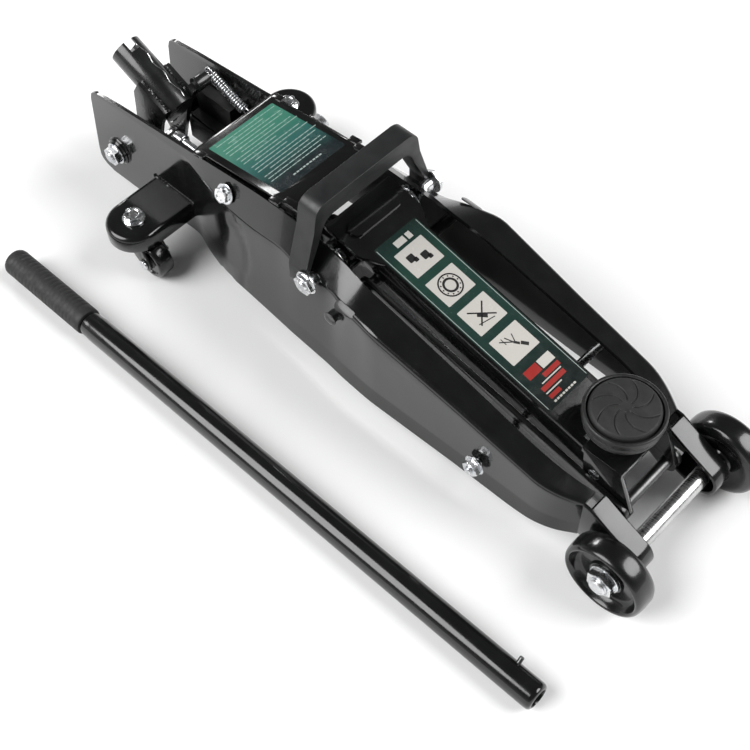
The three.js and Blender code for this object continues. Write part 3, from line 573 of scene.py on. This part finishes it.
def plate_nose(side, word):
    """Rounded nose round the axle: a flat web and the flange turned in along its edge."""
    nose = bmesh.new()
    tip = arc((AXLE.x, AXLE.z), 16, -110, 68, 22)
    outline = [(-46, 27), (-24, 26.5)] + tip + [(-16, 60), (-34, 69.5), (-46, 71)]
    add_prism(nose, outline, side * 54.3, side * 57.5, SIDEWAYS)
    name = f"side_plate_{word}_nose_web"
    keep(name, to_mesh(nose, name), "frame", "black_gloss", modifiers=[rounded(1.6, 4)])
    band = bmesh.new()
    path = outline[1:-1]
    inner = []
    for i, (x, z) in enumerate(path):
        a, b = path[max(i - 1, 0)], path[min(i + 1, len(path) - 1)]
        along = Vector((b[0] - a[0], b[1] - a[1])).normalized()
        inner.append((x - along.y * PLATE * 0.95, z + along.x * PLATE * 0.95))
    add_prism(band, path + inner[::-1], side * 38.5, side * 56.5, SIDEWAYS)
    name = f"side_plate_{word}_nose_flange"
    keep(name, to_mesh(band, name), "frame", "black_gloss", modifiers=[rounded(1.0, 3)])


def plate_boss(side, word):
    """Boss and spacer that carry the socket's bolt."""
    boss = bmesh.new()
    place = aim((SOCKET_PIVOT.x, 0, SOCKET_PIVOT.z), (0, side, 0))
    for low, high, radius in ((43, 50.5, 13), (22, 46, 10)):
        add_turned(boss, [(0, low), (radius - 0.8, low), (radius, low + 0.8), (radius, high - 1.4),
                          (radius - 1.4, high), (0, high)], place)
    add_turned(boss, [(12.9, 44.2), (15.6, 44.0), (14.6, 46.6), (13.2, 48.0)], place)
    name = f"side_plate_{word}_boss"
    keep(name, to_mesh(boss, name), "frame", "black_gloss")


def plate_lance(side, word):
    """Small oval lanced out of the upper fold."""
    tab = bmesh.new()
    outline = arc((-271, 0), 4.2, 90, 270, 10) + arc((-258, 0), 3.4, -90, 90, 10)
    lean = Matrix.Translation((0, side * 72.8, 117.4)) @ Matrix.Rotation(-side * math.radians(38), 4, "X")
    add_prism(tab, outline, -0.4, 0.7, lean)
    name = f"side_plate_{word}_lance"
    keep(name, to_mesh(tab, name), "frame", "black_satin", modifiers=[rounded(0.35, 2)])


def side_plate(side):
    word = "left" if side > 0 else "right"
    for build in (plate_pressing, plate_nose, plate_boss, plate_lance):
        build(side, word)


# ------------------------------------------------------------------ wheels
def wheel(side):
    word = "left" if side > 0 else "right"
    bm = bmesh.new()
    profile = [(7.9, 0), (12, 0), (13, 1.6), (24, 1.6), (26, 0.4), (31, 0.5), (33.4, 1.6), (34.7, 4.4),
               (35, 8.5), (35, 14), (34.75, 17.4), (34.1, 19.9), (33.0, 21.5), (31.8, 22), (30.6, 21.7),
               (29.9, 20.8), (29.2, 18.2), (28.2, 15.6), (26.6, 13.4), (24, 12.9), (16.5, 12.9),
               (15.2, 13.4), (14.8, 14.6), (14.2, 16), (7.9, 16)]
    add_turned(bm, profile, aim((AXLE.x, side * 60, AXLE.z), (0, side, 0)), segments=128)
    name = f"front_wheel_{word}_tyre"
    keep(name, to_mesh(bm, name), f"wheel_{word}", "black_wheel", f"front_wheel_{word}", smooth=50.0)

    fastener(f"axle_nut_{word}_hardware", "frame", "zinc_bright", f"axle_nut_{word}", {
        "point": (AXLE.x, side * 76.3, AXLE.z), "direction": (0, side, 0), "across": 21.0,
        "washer": (12.9, 1.8), "head": (1.6, 8.2), "stud": (7.4, 11.0)})


def front_axle():
    bm = bmesh.new()
    for side in (1, -1):
        add_turned(bm, [(0, 0), (7.45, 0), (7.45, 59.4), (7.2, 59.7), (7.2, 76), (0, 76)],
                   aim((AXLE.x, 0, AXLE.z), (0, side, 0)), segments=64)
    name = "front_axle_bar"
    keep(name, to_mesh(bm, name), "frame", "steel_bare", "front_axle")


def caster(side):
    word = "left" if side > 0 else "right"
    x, y, top = CASTER.x, 93.0, 54.0
    bm = bmesh.new()
    outline = [(x + 25.5, side * 46.8)] + [(px, side * py) for px, py in arc((x, y), 25.5, 0, 180, 40)]
    outline += [(x - 25.5, side * 46.8)]
    add_prism(bm, outline, top - 16, top)
    upper = [e for e in bm.edges if all(v.co.z > top - 0.01 for v in e.verts)]
    lip = [e for e in upper if min(abs(v.co.y) for v in e.verts) > 46.9
           or abs(e.verts[0].co.x - e.verts[1].co.x) < 0.01]
    bmesh.ops.bevel(bm, geom=lip, offset=5.0, segments=7, profile=0.5, affect="EDGES")
    floor_faces = [f for f in bm.faces if all(v.co.z < top - 15.9 for v in f.verts)]
    bmesh.ops.delete(bm, geom=floor_faces, context="FACES_ONLY")
    name = f"caster_bracket_{word}_pressing"
    keep(name, to_mesh(bm, name), "frame", "black_gloss", f"caster_bracket_{word}", modifiers=[
        ("SOLIDIFY", {"thickness": 2.6 * MM, "offset": -1.0}), rounded(0.5, 2, 50)])

    weld = bmesh.new()
    path = [(x - 26 + 52 * i / 59, side * (47.2 + 0.15 * math.sin(i * 2.1)),
             top - 0.6 + 0.12 * math.sin(i * 1.7)) for i in range(60)]
    add_tube(weld, path, lambda t: 1.5 + 0.25 * math.sin(t * 95), sides=10)
    name = f"caster_bracket_{word}_weld"
    keep(name, to_mesh(weld, name), "frame", "black_gloss")

    fastener(f"caster_bolt_{word}_hardware", "frame", "zinc_bright", f"caster_bolt_{word}",
             {"point": (x, side * y, top), "direction": (0, 0, 1), "across": 15.0,
              "washer": (10.0, 1.8), "head": (1.6, 6.5), "dished": True},
             {"point": (x, side * y, top - 3), "direction": (0, 0, -1), "across": 13.0,
              "head": (5.0, 11.0), "stud": (4.6, 12.5)})
    refine(f"caster_fork_{word}", f"fork_{word}", 0.5)
    refine(f"caster_axle_{word}", f"fork_{word}", 0.7, 3)
    roller = bmesh.new()
    profile = [(3.4, -8), (6.6, -8), (7.4, -6.6), (12.6, -6.6), (13.6, -8), (15.4, -8), (16.8, -7.4),
               (17.6, -6.0), (17.9, -3.5), (18, 0)]
    profile += [(r, -h) for r, h in profile[-2::-1]]
    add_turned(roller, profile, aim((CASTER_AXLE.x, side * y, CASTER_AXLE.z), (0, side, 0)), segments=96)
    name = f"caster_wheel_{word}_tyre"
    keep(name, to_mesh(roller, name), f"caster_{word}", "black_wheel", f"caster_wheel_{word}", smooth=50.0)


# ------------------------------------------------------------------ arm frame and labels
ARM_FRAME = Matrix.Translation((PIVOT.x, 0, PIVOT.z)) @ Matrix.Rotation(ARM_SLOPE, 4, "Y")
ARM_TOP = 22.2


def rounded_rectangle(x0, x1, y0, y1, radius, steps=5):
    return (arc((x1 - radius, y1 - radius), radius, 0, 90, steps)
            + arc((x0 + radius, y1 - radius), radius, 90, 180, steps)
            + arc((x0 + radius, y0 + radius), radius, 180, 270, steps)
            + arc((x1 - radius, y0 + radius), radius, 270, 360, steps))


def sticker(name, body, slot, outline, level, matrix, look, thickness=0.12):
    bm = bmesh.new()
    add_prism(bm, outline, level, level + thickness, matrix)
    return keep(name, to_mesh(bm, name), body, slot, look=look)


def dashes(name, rows, level, matrix, look, body, slot, corner=0.15):
    """Short raised bars in rows: (start, stop, across, width) each."""
    bm = bmesh.new()
    for start, stop, across, width in rows:
        add_prism(bm, rounded_rectangle(start, stop, across - width / 2, across + width / 2, corner, 2),
                  level, level + 0.05, matrix)
    return keep(name, to_mesh(bm, name), body, slot, look=look)


def arm_label():
    top = ARM_TOP
    sheet = rounded_rectangle(22, 206, -23.6, 23.6, 2)
    sticker("arm_label_sheet", "arm", "black_gloss", sheet, top, ARM_FRAME, LABELS["arm_green"])
    edge = [(24, 204, y, 0.5) for y in (-22.3, 22.3)]
    dashes("arm_label_edges", edge, top + 0.12, ARM_FRAME, LABELS["pale"], "arm", "black_gloss")
    pitch, first = 33.5, 36.0
    for i in range(4):
        a = first + pitch * i
        sticker(f"arm_label_square_{i}", "arm", "black_gloss",
                rounded_rectangle(a, a + 25.9, -15.3, 15.3, 0.8), top + 0.12, ARM_FRAME, LABELS["card"], 0.06)
        icon(i, a + 13, top + 0.18)
    bars = [(27, 33, -2, 11), (27, 33, 8, 5)]
    dashes("arm_label_top_bar", bars, top + 0.12, ARM_FRAME, LABELS["card"], "arm", "black_gloss")
    base = first + 4 * pitch + 1
    red = [(0, 8, -15, -0.6), (10, 14, -4, 14), (17.5, 21.5, -14, 12), (25.5, 29, -14, -2)]
    white = [(0, 8, 0.6, 14.5), (15.2, 16.2, -10, 12), (23, 24, -14, 4)]
    white += [(31, 32.6, -14 + 3.2 * k, -11.6 + 3.2 * k) for k in range(8)]
    for word, look, marks in (("red", "red", red), ("white", "card", white)):
        rows = [(base + a, base + b, (low + high) / 2, high - low) for a, b, low, high in marks]
        dashes(f"arm_label_{word}_block", rows, top + 0.12, ARM_FRAME, LABELS[look],
               "arm", "black_gloss", 0.3)


def icon(kind, a, level):
    """Plain line drawings: two blocks, a ring, crossed bars and a branching stroke."""
    bm = bmesh.new()
    if kind == 0:
        for u, v in ((-3, -6), (2, 5)):
            for du, dv, size in ((0, 0, 3.4), (3.2, 2.4, 2.0)):
                u0, v0 = a + u + du, v + dv
                add_prism(bm, rounded_rectangle(u0 - size, u0 + size, v0 - size, v0 + size, 1, 3),
                          level, level + 0.05, ARM_FRAME)
    elif kind == 1:
        for outer, inner in ((10.5, 9.2), (6.6, 4.6)):
            steps = 56
            for k in range(steps):
                t0, t1 = (2 * math.pi * q / steps for q in (k, k + 0.98))
                corners = ((inner, t0), (outer, t0), (outer, t1), (inner, t1))
                add_prism(bm, [(a + r * math.cos(t), r * math.sin(t)) for r, t in corners],
                          level, level + 0.05, ARM_FRAME)
        for k in range(12):
            t = 2 * math.pi * k / 12
            add_prism(bm, [(a + 8 * math.cos(t) + dx, 8 * math.sin(t) + dy) for dx, dy in
                           ((-.6, -.6), (.6, -.6), (.6, .6), (-.6, .6))], level, level + 0.05, ARM_FRAME)
    else:
        strokes = {2: [((-8, -9), (7, 9), 1.3), ((-8, 8), (7, -8), 1.3), ((-2, -4), (4, 2), 3.4),
                       ((5, -9), (8, 6), 0.8)],
                   3: [((-8, -9), (-1, 0), 1.0), ((-8, -3), (-1, 0), 1.0), ((-7, 4), (0, 1), 0.8),
                       ((-1, 0), (3, 3), 2.2), ((3, 4), (8, 8), 3.0), ((-9, -6), (-3, -6), 0.7)]}[kind]
        for (u0, v0), (u1, v1), width in strokes:
            along = Vector((u1 - u0, v1 - v0)).normalized() * width / 2
            side = Vector((-along.y, along.x))
            add_prism(bm, [(a + u0 + side.x, v0 + side.y), (a + u0 - side.x, v0 - side.y),
                           (a + u1 - side.x, v1 - side.y), (a + u1 + side.x, v1 + side.y)],
                      level, level + 0.05, ARM_FRAME)
    name = f"arm_label_icon_{kind}"
    keep(name, to_mesh(bm, name), "arm", "black_gloss", look=LABELS["ink"])


def cover_label():
    origin = Matrix.Translation((-466, 0, 127)) @ Matrix.Rotation(-COVER_SLOPE, 4, "Y")
    sticker("cover_label_sheet", "frame", "black_gloss", rounded_rectangle(9, 97, -36, 36, 1.5), 0, origin,
            LABELS["cover_green"])
    bars = []
    for k in range(17):
        u = 13.5 + 4.2 * k
        v = -32 + (9 if k % 4 == 1 else 0) + random.uniform(0, 2)
        stop = 32 - (random.uniform(8, 26) if k % 3 == 1 else 0)
        while v < stop:
            length = random.uniform(2.2, 7.5)
            bars.append((u - 0.4, u + 0.4, v + length / 2, length))
            v += length + random.uniform(0.6, 0.9)
    dashes("cover_label_rows", bars, 0.12, origin, LABELS["pale"], "frame", "black_gloss")
    dashes("cover_label_band", [(88.5, 90.0, -14 + 3.6 * k, 2.6) for k in range(9)], 0.12, origin,
           LABELS["pale"], "frame", "black_gloss")
    clip = bmesh.new()
    length = 126 / math.cos(COVER_SLOPE)
    add_prism(clip, rounded_rectangle(length - 22, length - 9.5, -43, -36.5, 1), -0.5, 1.6, origin)
    add_prism(clip, rounded_rectangle(length - 22, length - 9.5, 36.5, 43, 1), -0.5, 1.6, origin)
    keep("cover_plate_clips", to_mesh(clip, "cover_plate_clips"), "frame", "black_gloss",
         modifiers=[rounded(0.5, 2)])


# ------------------------------------------------------------------ saddle
def saddle():
    x, pad = SADDLE.x, 123.0
    bm = bmesh.new()
    profile = [(0, 82), (7.9, 82), (7.9, 90.3), (16.5, 90.3), (17.2, 91), (18.5, 99), (20, 101.2),
               (27.5, 102.6), (29.3, 103.6), (30.0, 105.4), (30.2, 107.6), (29.6, 108.6), (29.5, 109.6), (30.4, 110.6),
               (31.3, 112), (31.5, 114), (31.5, 117.4), (31.2, 118.5), (30.5, 119), (29.4, 119), (28.6, 118.6),
               (28.2, 117.6), (27.9, 112), (27.5, 111), (0, 111)]
    add_turned(bm, profile, Matrix.Translation((x, 0, 0)), segments=144)
    keep("saddle_cup_casting", to_mesh(bm, "saddle_cup_casting"), "saddle", "iron_black",
         "saddle_cup", smooth=40.0)

    bm = bmesh.new()
    spokes, turns = 84, 288
    rings = []
    for k in range(spokes + 1):
        r = 26.9 * k / spokes
        row = []
        for i in range(turns if k else 1):
            angle = 2 * math.pi * i / turns
            dome = pad - 0.35 - 1.6 * (r / 27) ** 3 - (2.2 * max(0.0, (r - 24.6) / 2.3) ** 2)
            groove = 0.0
            if 4.5 < r < 25:
                swirl = angle - 0.9 * (r / 25) ** 1.3
                offset = (swirl * 8 / (2 * math.pi) % 1.0 - 0.5) * 2 * math.pi / 8 * r
                ends = min(1.0, (r - 4.5) / 1.5, (25 - r) / 1.5)
                groove = 1.0 * math.exp(-(offset / 0.6) ** 4) * ends
            row.append(bm.verts.new((x + r * math.cos(angle), r * math.sin(angle), dome - groove)))
        rings.append(row)
    for i in range(turns):
        bm.faces.new((rings[0][0], rings[1][i], rings[1][(i + 1) % turns]))
    for a, b in zip(rings[1:], rings[2:]):
        bridge(bm, a, b)
    foot = ring(bm, [(v.co.x, v.co.y, 111.4) for v in rings[-1]])
    bridge(bm, rings[-1], foot)
    bm.faces.new(foot)
    keep("saddle_pad_rubber", to_mesh(bm, "saddle_pad_rubber"), "saddle", "rubber_black",
         "saddle_pad", smooth=50.0)


# ------------------------------------------------------------------ springs
def helix(start, stop, radius, turns, per_turn=20):
    start, stop = Vector(start), Vector(stop)
    axis = stop - start
    turn = axis.normalized().to_track_quat("Z", "Y").to_matrix()
    count = int(turns * per_turn)
    points = []
    for i in range(count + 1):
        t = i / count
        angle = 2 * math.pi * turns * t
        points.append(start + turn @ Vector((radius * math.cos(angle), radius * math.sin(angle),
                                             axis.length * t)))
    return points


def springs():
    hook, eye = Vector((-489, 34, 97)), Vector((-541, 36.5, 112.5))
    along = (eye - hook).normalized()
    bm = bmesh.new()
    body = helix(hook + along * 4, eye - along * 6, 4.5, 17, 24)
    add_tube(bm, body, 0.85, sides=10)
    for end, direction in ((eye, along), (hook, -along)):
        loop = []
        base = end - direction * (7 if direction == along else 5)
        side = Vector((0, 1, 0)) - along * along.y
        side.normalize()
        up = along.cross(side)
        for k in range(27):
            angle = -math.pi / 2 + 2 * math.pi * 0.86 * k / 26
            loop.append(base + direction * (4.4 + 4.4 * math.sin(angle)) + up * 4.4 * math.cos(angle) * 0.95)
        add_tube(bm, loop, 0.85, sides=10)
    keep("socket_spring_wire", to_mesh(bm, "socket_spring_wire"),
         ("frame", "socket", frame_point(*hook), frame_point(*eye)), "zinc_bright",
         "socket_spring", smooth=60.0)


def arm_springs():
    for word in ("left", "right"):
        low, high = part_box(f"arm_spring_{word}")
        y0, y1 = ((v[1] - ORIGIN.y) / MM for v in (low, high))
        bm = bmesh.new()
        ends = (PIVOT.x, y0 + 1.7, PIVOT.z), (PIVOT.x, y1 - 1.7, PIVOT.z)
        add_tube(bm, helix(*ends, 11.4, 3.2, 40), 1.5, sides=12)
        name = f"arm_spring_{word}_wire"
        keep(name, to_mesh(bm, name), "frame", "zinc_bright", f"arm_spring_{word}", smooth=60.0)


# ------------------------------------------------------------------ power unit
def power_unit():
    refine("hydraulic_base", "frame", 1.6, 4)
    bm = bmesh.new()
    for point in ((-515, -36, 84), (-524, -38, 84), (-541, -37, 84), (-520, -27, 60)):
        add_turned(bm, [(0, -1), (4.6, -1), (4.6, 2.6), (4.0, 3.4), (2.4, 3.4), (2.2, 1.4), (0, 1.2)],
                   aim(point, (0, 0, 1)), segments=48)
    ribs = bmesh.new()
    for side in (1, -1):
        low, high = sorted((side * 18.7, side * 23))
        add_prism(ribs, rounded_rectangle(-557, -499, low, high, 1.5), 34, 58)
    keep("power_unit_ribs", to_mesh(ribs, "power_unit_ribs"), "frame", "iron_black",
         modifiers=[rounded(1.2, 3)])
    keep("power_unit_screws", to_mesh(bm, "power_unit_screws"), "frame", "zinc_bright", smooth=30.0)
    for node, width, segments in (("reservoir", 1.2, 3), ("tank_nut", 1.0, 3), ("pump_barrel", 0.7, 3),
                                  ("filler_plug", 0.9, 3), ("safety_valve_cap", 0.5, 2)):
        refine(node, "frame", width, segments)
    refine("release_valve", "valve", 0.7, 3)
    refine("ram", "piston", 0.6)
    refine("crosshead_pin", "piston", 0.6)
    for word in ("left", "right"):
        refine(f"push_link_{word}", "piston", 0.5)
        refine(f"radius_rod_{word}", "rods", 0.7)
    refine("pump_plunger", "plunger", 0.5)
    low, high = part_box("plunger_spring")
    x0, x1 = ((v[0] - ORIGIN.x) / MM for v in (low, high))
    bm = bmesh.new()
    add_tube(bm, helix((x0 + 1, 0, 32), (x1 - 1, 0, 32), 8.2, 5.5, 32), 0.95, sides=10)
    keep("plunger_spring_wire", to_mesh(bm, "plunger_spring_wire"),
         ("plunger", "frame", frame_point(x0, 0, 32), frame_point(x1, 0, 32)), "zinc_bright",
         "plunger_spring", smooth=60.0)


def frame_point(x, y, z):
    return ORIGIN + MM * Vector((x, y, z))


# ------------------------------------------------------------------ socket
def socket():
    refine("handle_socket", "socket", 1.0, 3)
    bm = bmesh.new()
    along = Matrix.Translation((-540, 0, 91)) @ Matrix.Rotation(SOCKET_SLOPE, 4, "Y")
    for side in (1, -1):
        path = [(-2 - 36 * i / 40, side * (13.2 + 0.3 * math.sin(i * 2.3)), 8.2 + 0.4 * math.sin(i * 1.9))
                for i in range(41)]
        add_tube(bm, [along @ Vector(p) for p in path], lambda t: 1.7 + 0.25 * math.sin(t * 80), sides=10)
    keep("handle_socket_welds", to_mesh(bm, "handle_socket_welds"), "socket", "black_satin")
    bm = bmesh.new()
    path = [(-4 - 62 * i / 50, 5.0 + 1.2 * math.sin(i * 0.35), 14.2 - 0.3 * math.sin(i * 0.35))
            for i in range(51)]
    add_tube(bm, [along @ Vector(p) for p in path], lambda t: 0.55 + 0.12 * math.sin(t * 60), sides=8)
    keep("handle_socket_seam", to_mesh(bm, "handle_socket_seam"), "socket", "steel_bare")
    refine("socket_roller", "socket", 0.6)
    for word, side in (("left", 1), ("right", -1)):
        bm = bmesh.new()
        add_turned(bm, [(0, 11), (5.9, 11), (5.9, 51), (0, 51)],
                   aim((SOCKET_PIVOT.x, 0, SOCKET_PIVOT.z), (0, side, 0)), segments=40)
        add_fastener(bm, (SOCKET_PIVOT.x, side * 50.8, SOCKET_PIVOT.z), (0, side, 0), 17.0,
                     washer=(10.5, 1.6), head=(1.4, 7.4), stud=(5.8, 9.2))
        name = f"socket_bolt_{word}_hardware"
        keep(name, to_mesh(bm, name), "frame", "zinc_bright", f"socket_bolt_{word}", smooth=25.0)


# ------------------------------------------------------------------ bolts through the plates
def hardware():
    bm = bmesh.new()
    left = aim((PIVOT.x, 0, PIVOT.z), (0, 1, 0))
    right = aim((PIVOT.x, 0, PIVOT.z), (0, -1, 0))
    add_turned(bm, [(0, -50), (7.9, -50), (7.9, 50), (0, 50)], left, segments=48)
    add_turned(bm, [(0, 49), (5.9, 49), (5.9, 71.5), (0, 71.5)], left, segments=48)
    add_turned(bm, [(0, 49)] + thread(5.9, 68, 78.5), right, segments=48)
    add_fastener(bm, (PIVOT.x, 71.3, PIVOT.z), (0, 1, 0), 17.0, washer=(10.5, 1.4),
                 head=(1.2, 5.7), dished=True)
    keep("arm_shaft_bar", to_mesh(bm, "arm_shaft_bar"), "frame", "zinc_bright", "arm_shaft", smooth=25.0)
    fastener("arm_shaft_nut_hardware", "frame", "zinc_bright", "arm_shaft_nut", {
        "point": (PIVOT.x, -71.3, PIVOT.z), "direction": (0, -1, 0), "across": 17.0,
        "washer": (10.5, 1.4), "head": (1.2, 5.7)})
    bm = bmesh.new()
    add_turned(bm, [(0, -60), (3.9, -60), (3.9, 77), (0, 77)], aim((TIE.x, 0, TIE.z), (0, 1, 0)),
               segments=32)
    add_turned(bm, [(0, 59)] + thread(3.9, 60, 85, 1.2), aim((TIE.x, 0, TIE.z), (0, -1, 0)), segments=32)
    add_fastener(bm, (TIE.x, 75.0, TIE.z), (0, 1, 0), 13.0, washer=(9.0, 1.6), head=(1.4, 7.0), dished=True)
    keep("tie_bolt_hardware", to_mesh(bm, "tie_bolt_hardware"), "frame", "zinc_bright", "tie_bolt", smooth=25.0)
    fastener("tie_bolt_nut_hardware", "frame", "zinc_bright", "tie_bolt_nut", {
        "point": (TIE.x, -75.8, TIE.z), "direction": (0, -1, 0), "across": 13.0,
        "washer": (9.0, 1.6), "head": (1.4, 7.2)})
    for word, side in (("left", 1), ("right", -1)):
        lean = math.atan2(10, 27)
        direction = Vector((0, side * math.cos(lean), math.sin(lean)))
        seat = Vector((-420, side * (56 - 10 / 27 * 12), 115)) + direction * 1.9
        fastener(f"cover_bolt_{word}_hardware", "frame", "zinc_bright", f"cover_bolt_{word}", {
            "point": seat, "direction": direction, "across": 12.5, "washer": (9.0, 1.3), "head": (1.1, 6.6),
            "dished": True})


def rod_shaft():
    """Shaft of the radius rods, its ends peened almost flush with the plates."""
    bm = bmesh.new()
    for side in (1, -1):
        add_turned(bm, [(0, 0), (4.9, 0), (4.9, 74.6), (6.0, 74.9), (6.2, 75.6), (5.2, 76.5),
                        (2.5, 77.0), (0, 77.1)], aim((ROD_PIVOT.x, 0, ROD_PIVOT.z), (0, side, 0)), segments=40)
    keep("radius_rod_shaft_bar", to_mesh(bm, "radius_rod_shaft_bar"), "frame", "steel_dark", "radius_rod_shaft")


# ------------------------------------------------------------------ loose handle
def pump_handle():
    low = Vector((-576, -178, 12.5))
    high = Vector((19, -172, 12.5))
    length = (high - low).length
    place = aim(low, high - low)
    bm = bmesh.new()
    add_turned(bm, [(0, 4), (9, 4), (9, 102), (10.6, 103.5), (11.1, 108), (11.2, 112), (11.5, 113.5),
                    (11.5, length - 4), (11.2, length - 2), (10.4, length - 0.7), (8.8, length), (8.0, length),
                    (7.6, length - 1), (7.6, length - 14), (0, length - 14)], place, segments=96)
    keep("pump_handle_tube", to_mesh(bm, "pump_handle_tube"), "loose_handle", "black_gloss",
         "pump_handle", smooth=40.0)
    bm = bmesh.new()
    profile = [(0, 0), (9.6, 0), (11.2, 0.8), (12.1, 2.4), (12.4, 4.5)]
    z = 8.0
    while z < 95:
        profile += [(12.4, z), (12.2, z + 0.5), (12.2, z + 1.1), (12.4, z + 1.6)]
        z += 4.6
    profile += [(12.45, 98), (12.4, 100.2), (11.9, 101.3), (9.3, 101.6), (9.3, 3.7), (0, 3.7)]
    add_turned(bm, profile, place, segments=96)
    keep("handle_grip_sleeve", to_mesh(bm, "handle_grip_sleeve"), "loose_handle", "rubber_black", "handle_grip",
         smooth=40.0)
    refine("handle_pin", "loose_handle", 0.6, 3, look=LOOKS["steel_dark"])


# ------------------------------------------------------------------ label colours
def printed(name, stops, rough=(0.16, 0.3), axis="X", span=(0.0, 1.0)):
    """Printed film: an even gradient with faint mottling under a gloss laminate."""
    n = Nodes(name)
    split = n.add("ShaderNodeSeparateXYZ")
    n.link(n.coords, split.inputs[0])
    mottled = n.add("ShaderNodeMath", operation="MULTIPLY_ADD")
    n.link(n.noise(70.0, 4.0), mottled.inputs[0])
    mottled.inputs[1].default_value = 0.10
    n.link(n.range(split.outputs[axis], 0.0, 1.0, *span), mottled.inputs[2])
    n.link(n.ramp(mottled.outputs[0], stops), n.shader.inputs["Base Color"])
    n.link(n.range(n.noise(120.0, 4.0), rough[0], rough[1], 0.3, 0.7), n.shader.inputs["Roughness"])
    n.bump(n.noise(600.0, 2.0), 0.03, 0.0002)
    n.set(Coat_Weight=0.5, Coat_Roughness=0.08)
    return n.material


label_start = frame_point(-457, 0, 0).x
label_end = frame_point(-372, 0, 0).x
arm_start = frame_point(-286, 0, 0).x
arm_end = frame_point(-106, 0, 0).x
LABELS = {
    "cover_green": printed("label_green_film", [(0.0, (0.030, 0.17, 0.115)), (0.3, (0.028, 0.155, 0.105)),
                                                (0.62, (0.012, 0.085, 0.075)), (0.95, (0.004, 0.010, 0.012))],
                           span=(label_start, label_end)),
    "arm_green": printed("label_dark_green_film", [(0.0, (0.004, 0.008, 0.008)), (0.25, (0.012, 0.040, 0.030)),
                                                   (0.7, (0.010, 0.030, 0.024)), (1.0, (0.005, 0.010, 0.009))],
                         span=(arm_start, arm_end)),
    "pale": printed("label_pale_ink", [(0.0, (0.20, 0.36, 0.29)), (1.0, (0.34, 0.40, 0.38))],
                    span=(label_start, label_end)),
    "card": printed("label_white_film", [(0.0, (0.44, 0.425, 0.40)), (1.0, (0.52, 0.50, 0.465))],
                    span=(arm_start, arm_end)),
    "ink": printed("label_black_ink", [(0.0, grey(0.012)), (1.0, grey(0.03))], span=(arm_start, arm_end)),
    "red": printed("label_red_ink", [(0.0, (0.19, 0.012, 0.012)), (1.0, (0.30, 0.024, 0.02))],
                   span=(arm_start, arm_end)),
}


# ------------------------------------------------------------------ the jack
for direction in (1, -1):
    side_plate(direction)
    wheel(direction)
    caster(direction)
front_axle()
hardware()
refine("cover_plate", "frame", 0.7, 3)
refine("carry_handle", "frame", 2.6, 5)
refine("lift_arm", "arm", 1.5, 4)
refine("ram_lug_pin", "arm", 0.6)
rod_shaft()
refine("saddle_bracket", "bracket", 1.2, 4)
refine("saddle_pivot_pin", "bracket", 0.6)
refine("bracket_pin", "bracket", 0.6)
arm_label()
cover_label()
saddle()
springs()
arm_springs()
power_unit()
socket()
pump_handle()


# ------------------------------------------------------------------ stage
def camera():
    data = bpy.data.cameras.new("photo_camera")
    data.lens = 64.2
    data.sensor_width = 36.0
    view = bpy.data.objects.new("photo_camera", data)
    view.location = ORIGIN + Vector((0.1852, -0.4936, 0.9262))
    view.rotation_euler = [math.radians(angle) for angle in (34.461, 0.888, 43.643)]
    bpy.context.scene.collection.objects.link(view)
    bpy.context.scene.camera = view


def sun(name, towards, strength, angle):
    """A broad soft source in the direction `towards`."""
    data = bpy.data.lights.new(name, "SUN")
    data.energy = strength
    data.angle = math.radians(angle)
    light = bpy.data.objects.new(name, data)
    light.rotation_euler = Vector(towards).to_track_quat("Z", "Y").to_euler()
    bpy.context.scene.collection.objects.link(light)


def stage():
    bm = bmesh.new()
    bmesh.ops.create_grid(bm, x_segments=2, y_segments=2, size=6.0)
    mesh = bpy.data.meshes.new("floor")
    bm.to_mesh(mesh)
    floor = bpy.data.objects.new("floor", mesh)
    floor.location.z = -0.0005
    bpy.context.scene.collection.objects.link(floor)
    n = Nodes("floor_paper")
    n.link(n.ramp(n.noise(3.0, 2.0), [(0.3, grey(0.90)), (0.7, grey(0.93))]), n.shader.inputs["Base Color"])
    n.set(Roughness=0.7)
    mesh.materials.append(n.material)
    world = bpy.data.worlds.new("studio")
    world.use_nodes = True
    tree = world.node_tree
    coords = tree.nodes.new("ShaderNodeTexCoord")
    split = tree.nodes.new("ShaderNodeSeparateXYZ")
    walls = tree.nodes.new("ShaderNodeValToRGB")
    tree.links.new(coords.outputs["Generated"], split.inputs[0])
    tree.links.new(split.outputs["Z"], walls.inputs["Fac"])
    tree.links.new(walls.outputs["Color"], tree.nodes["Background"].inputs["Color"])
    elements = walls.color_ramp.elements
    elements.new(0.3)
    elements.new(0.6)
    for element, (height, level) in zip(elements, ((0.0, 0.62), (0.13, 0.42), (0.42, 0.12), (1.0, 0.09))):
        element.position = height
        element.color = (level, level, level, 1.0)
    bpy.context.scene.world = world
    bpy.context.scene.view_settings.view_transform = "Standard"
    sun("key", (0.58, 0.50, 0.72), 2.5, 38)
    sun("fill", (-0.42, -0.66, 0.75), 3.1, 44)
    sun("edge", (-0.75, 0.35, 0.35), 0.3, 8)


camera()
stage()
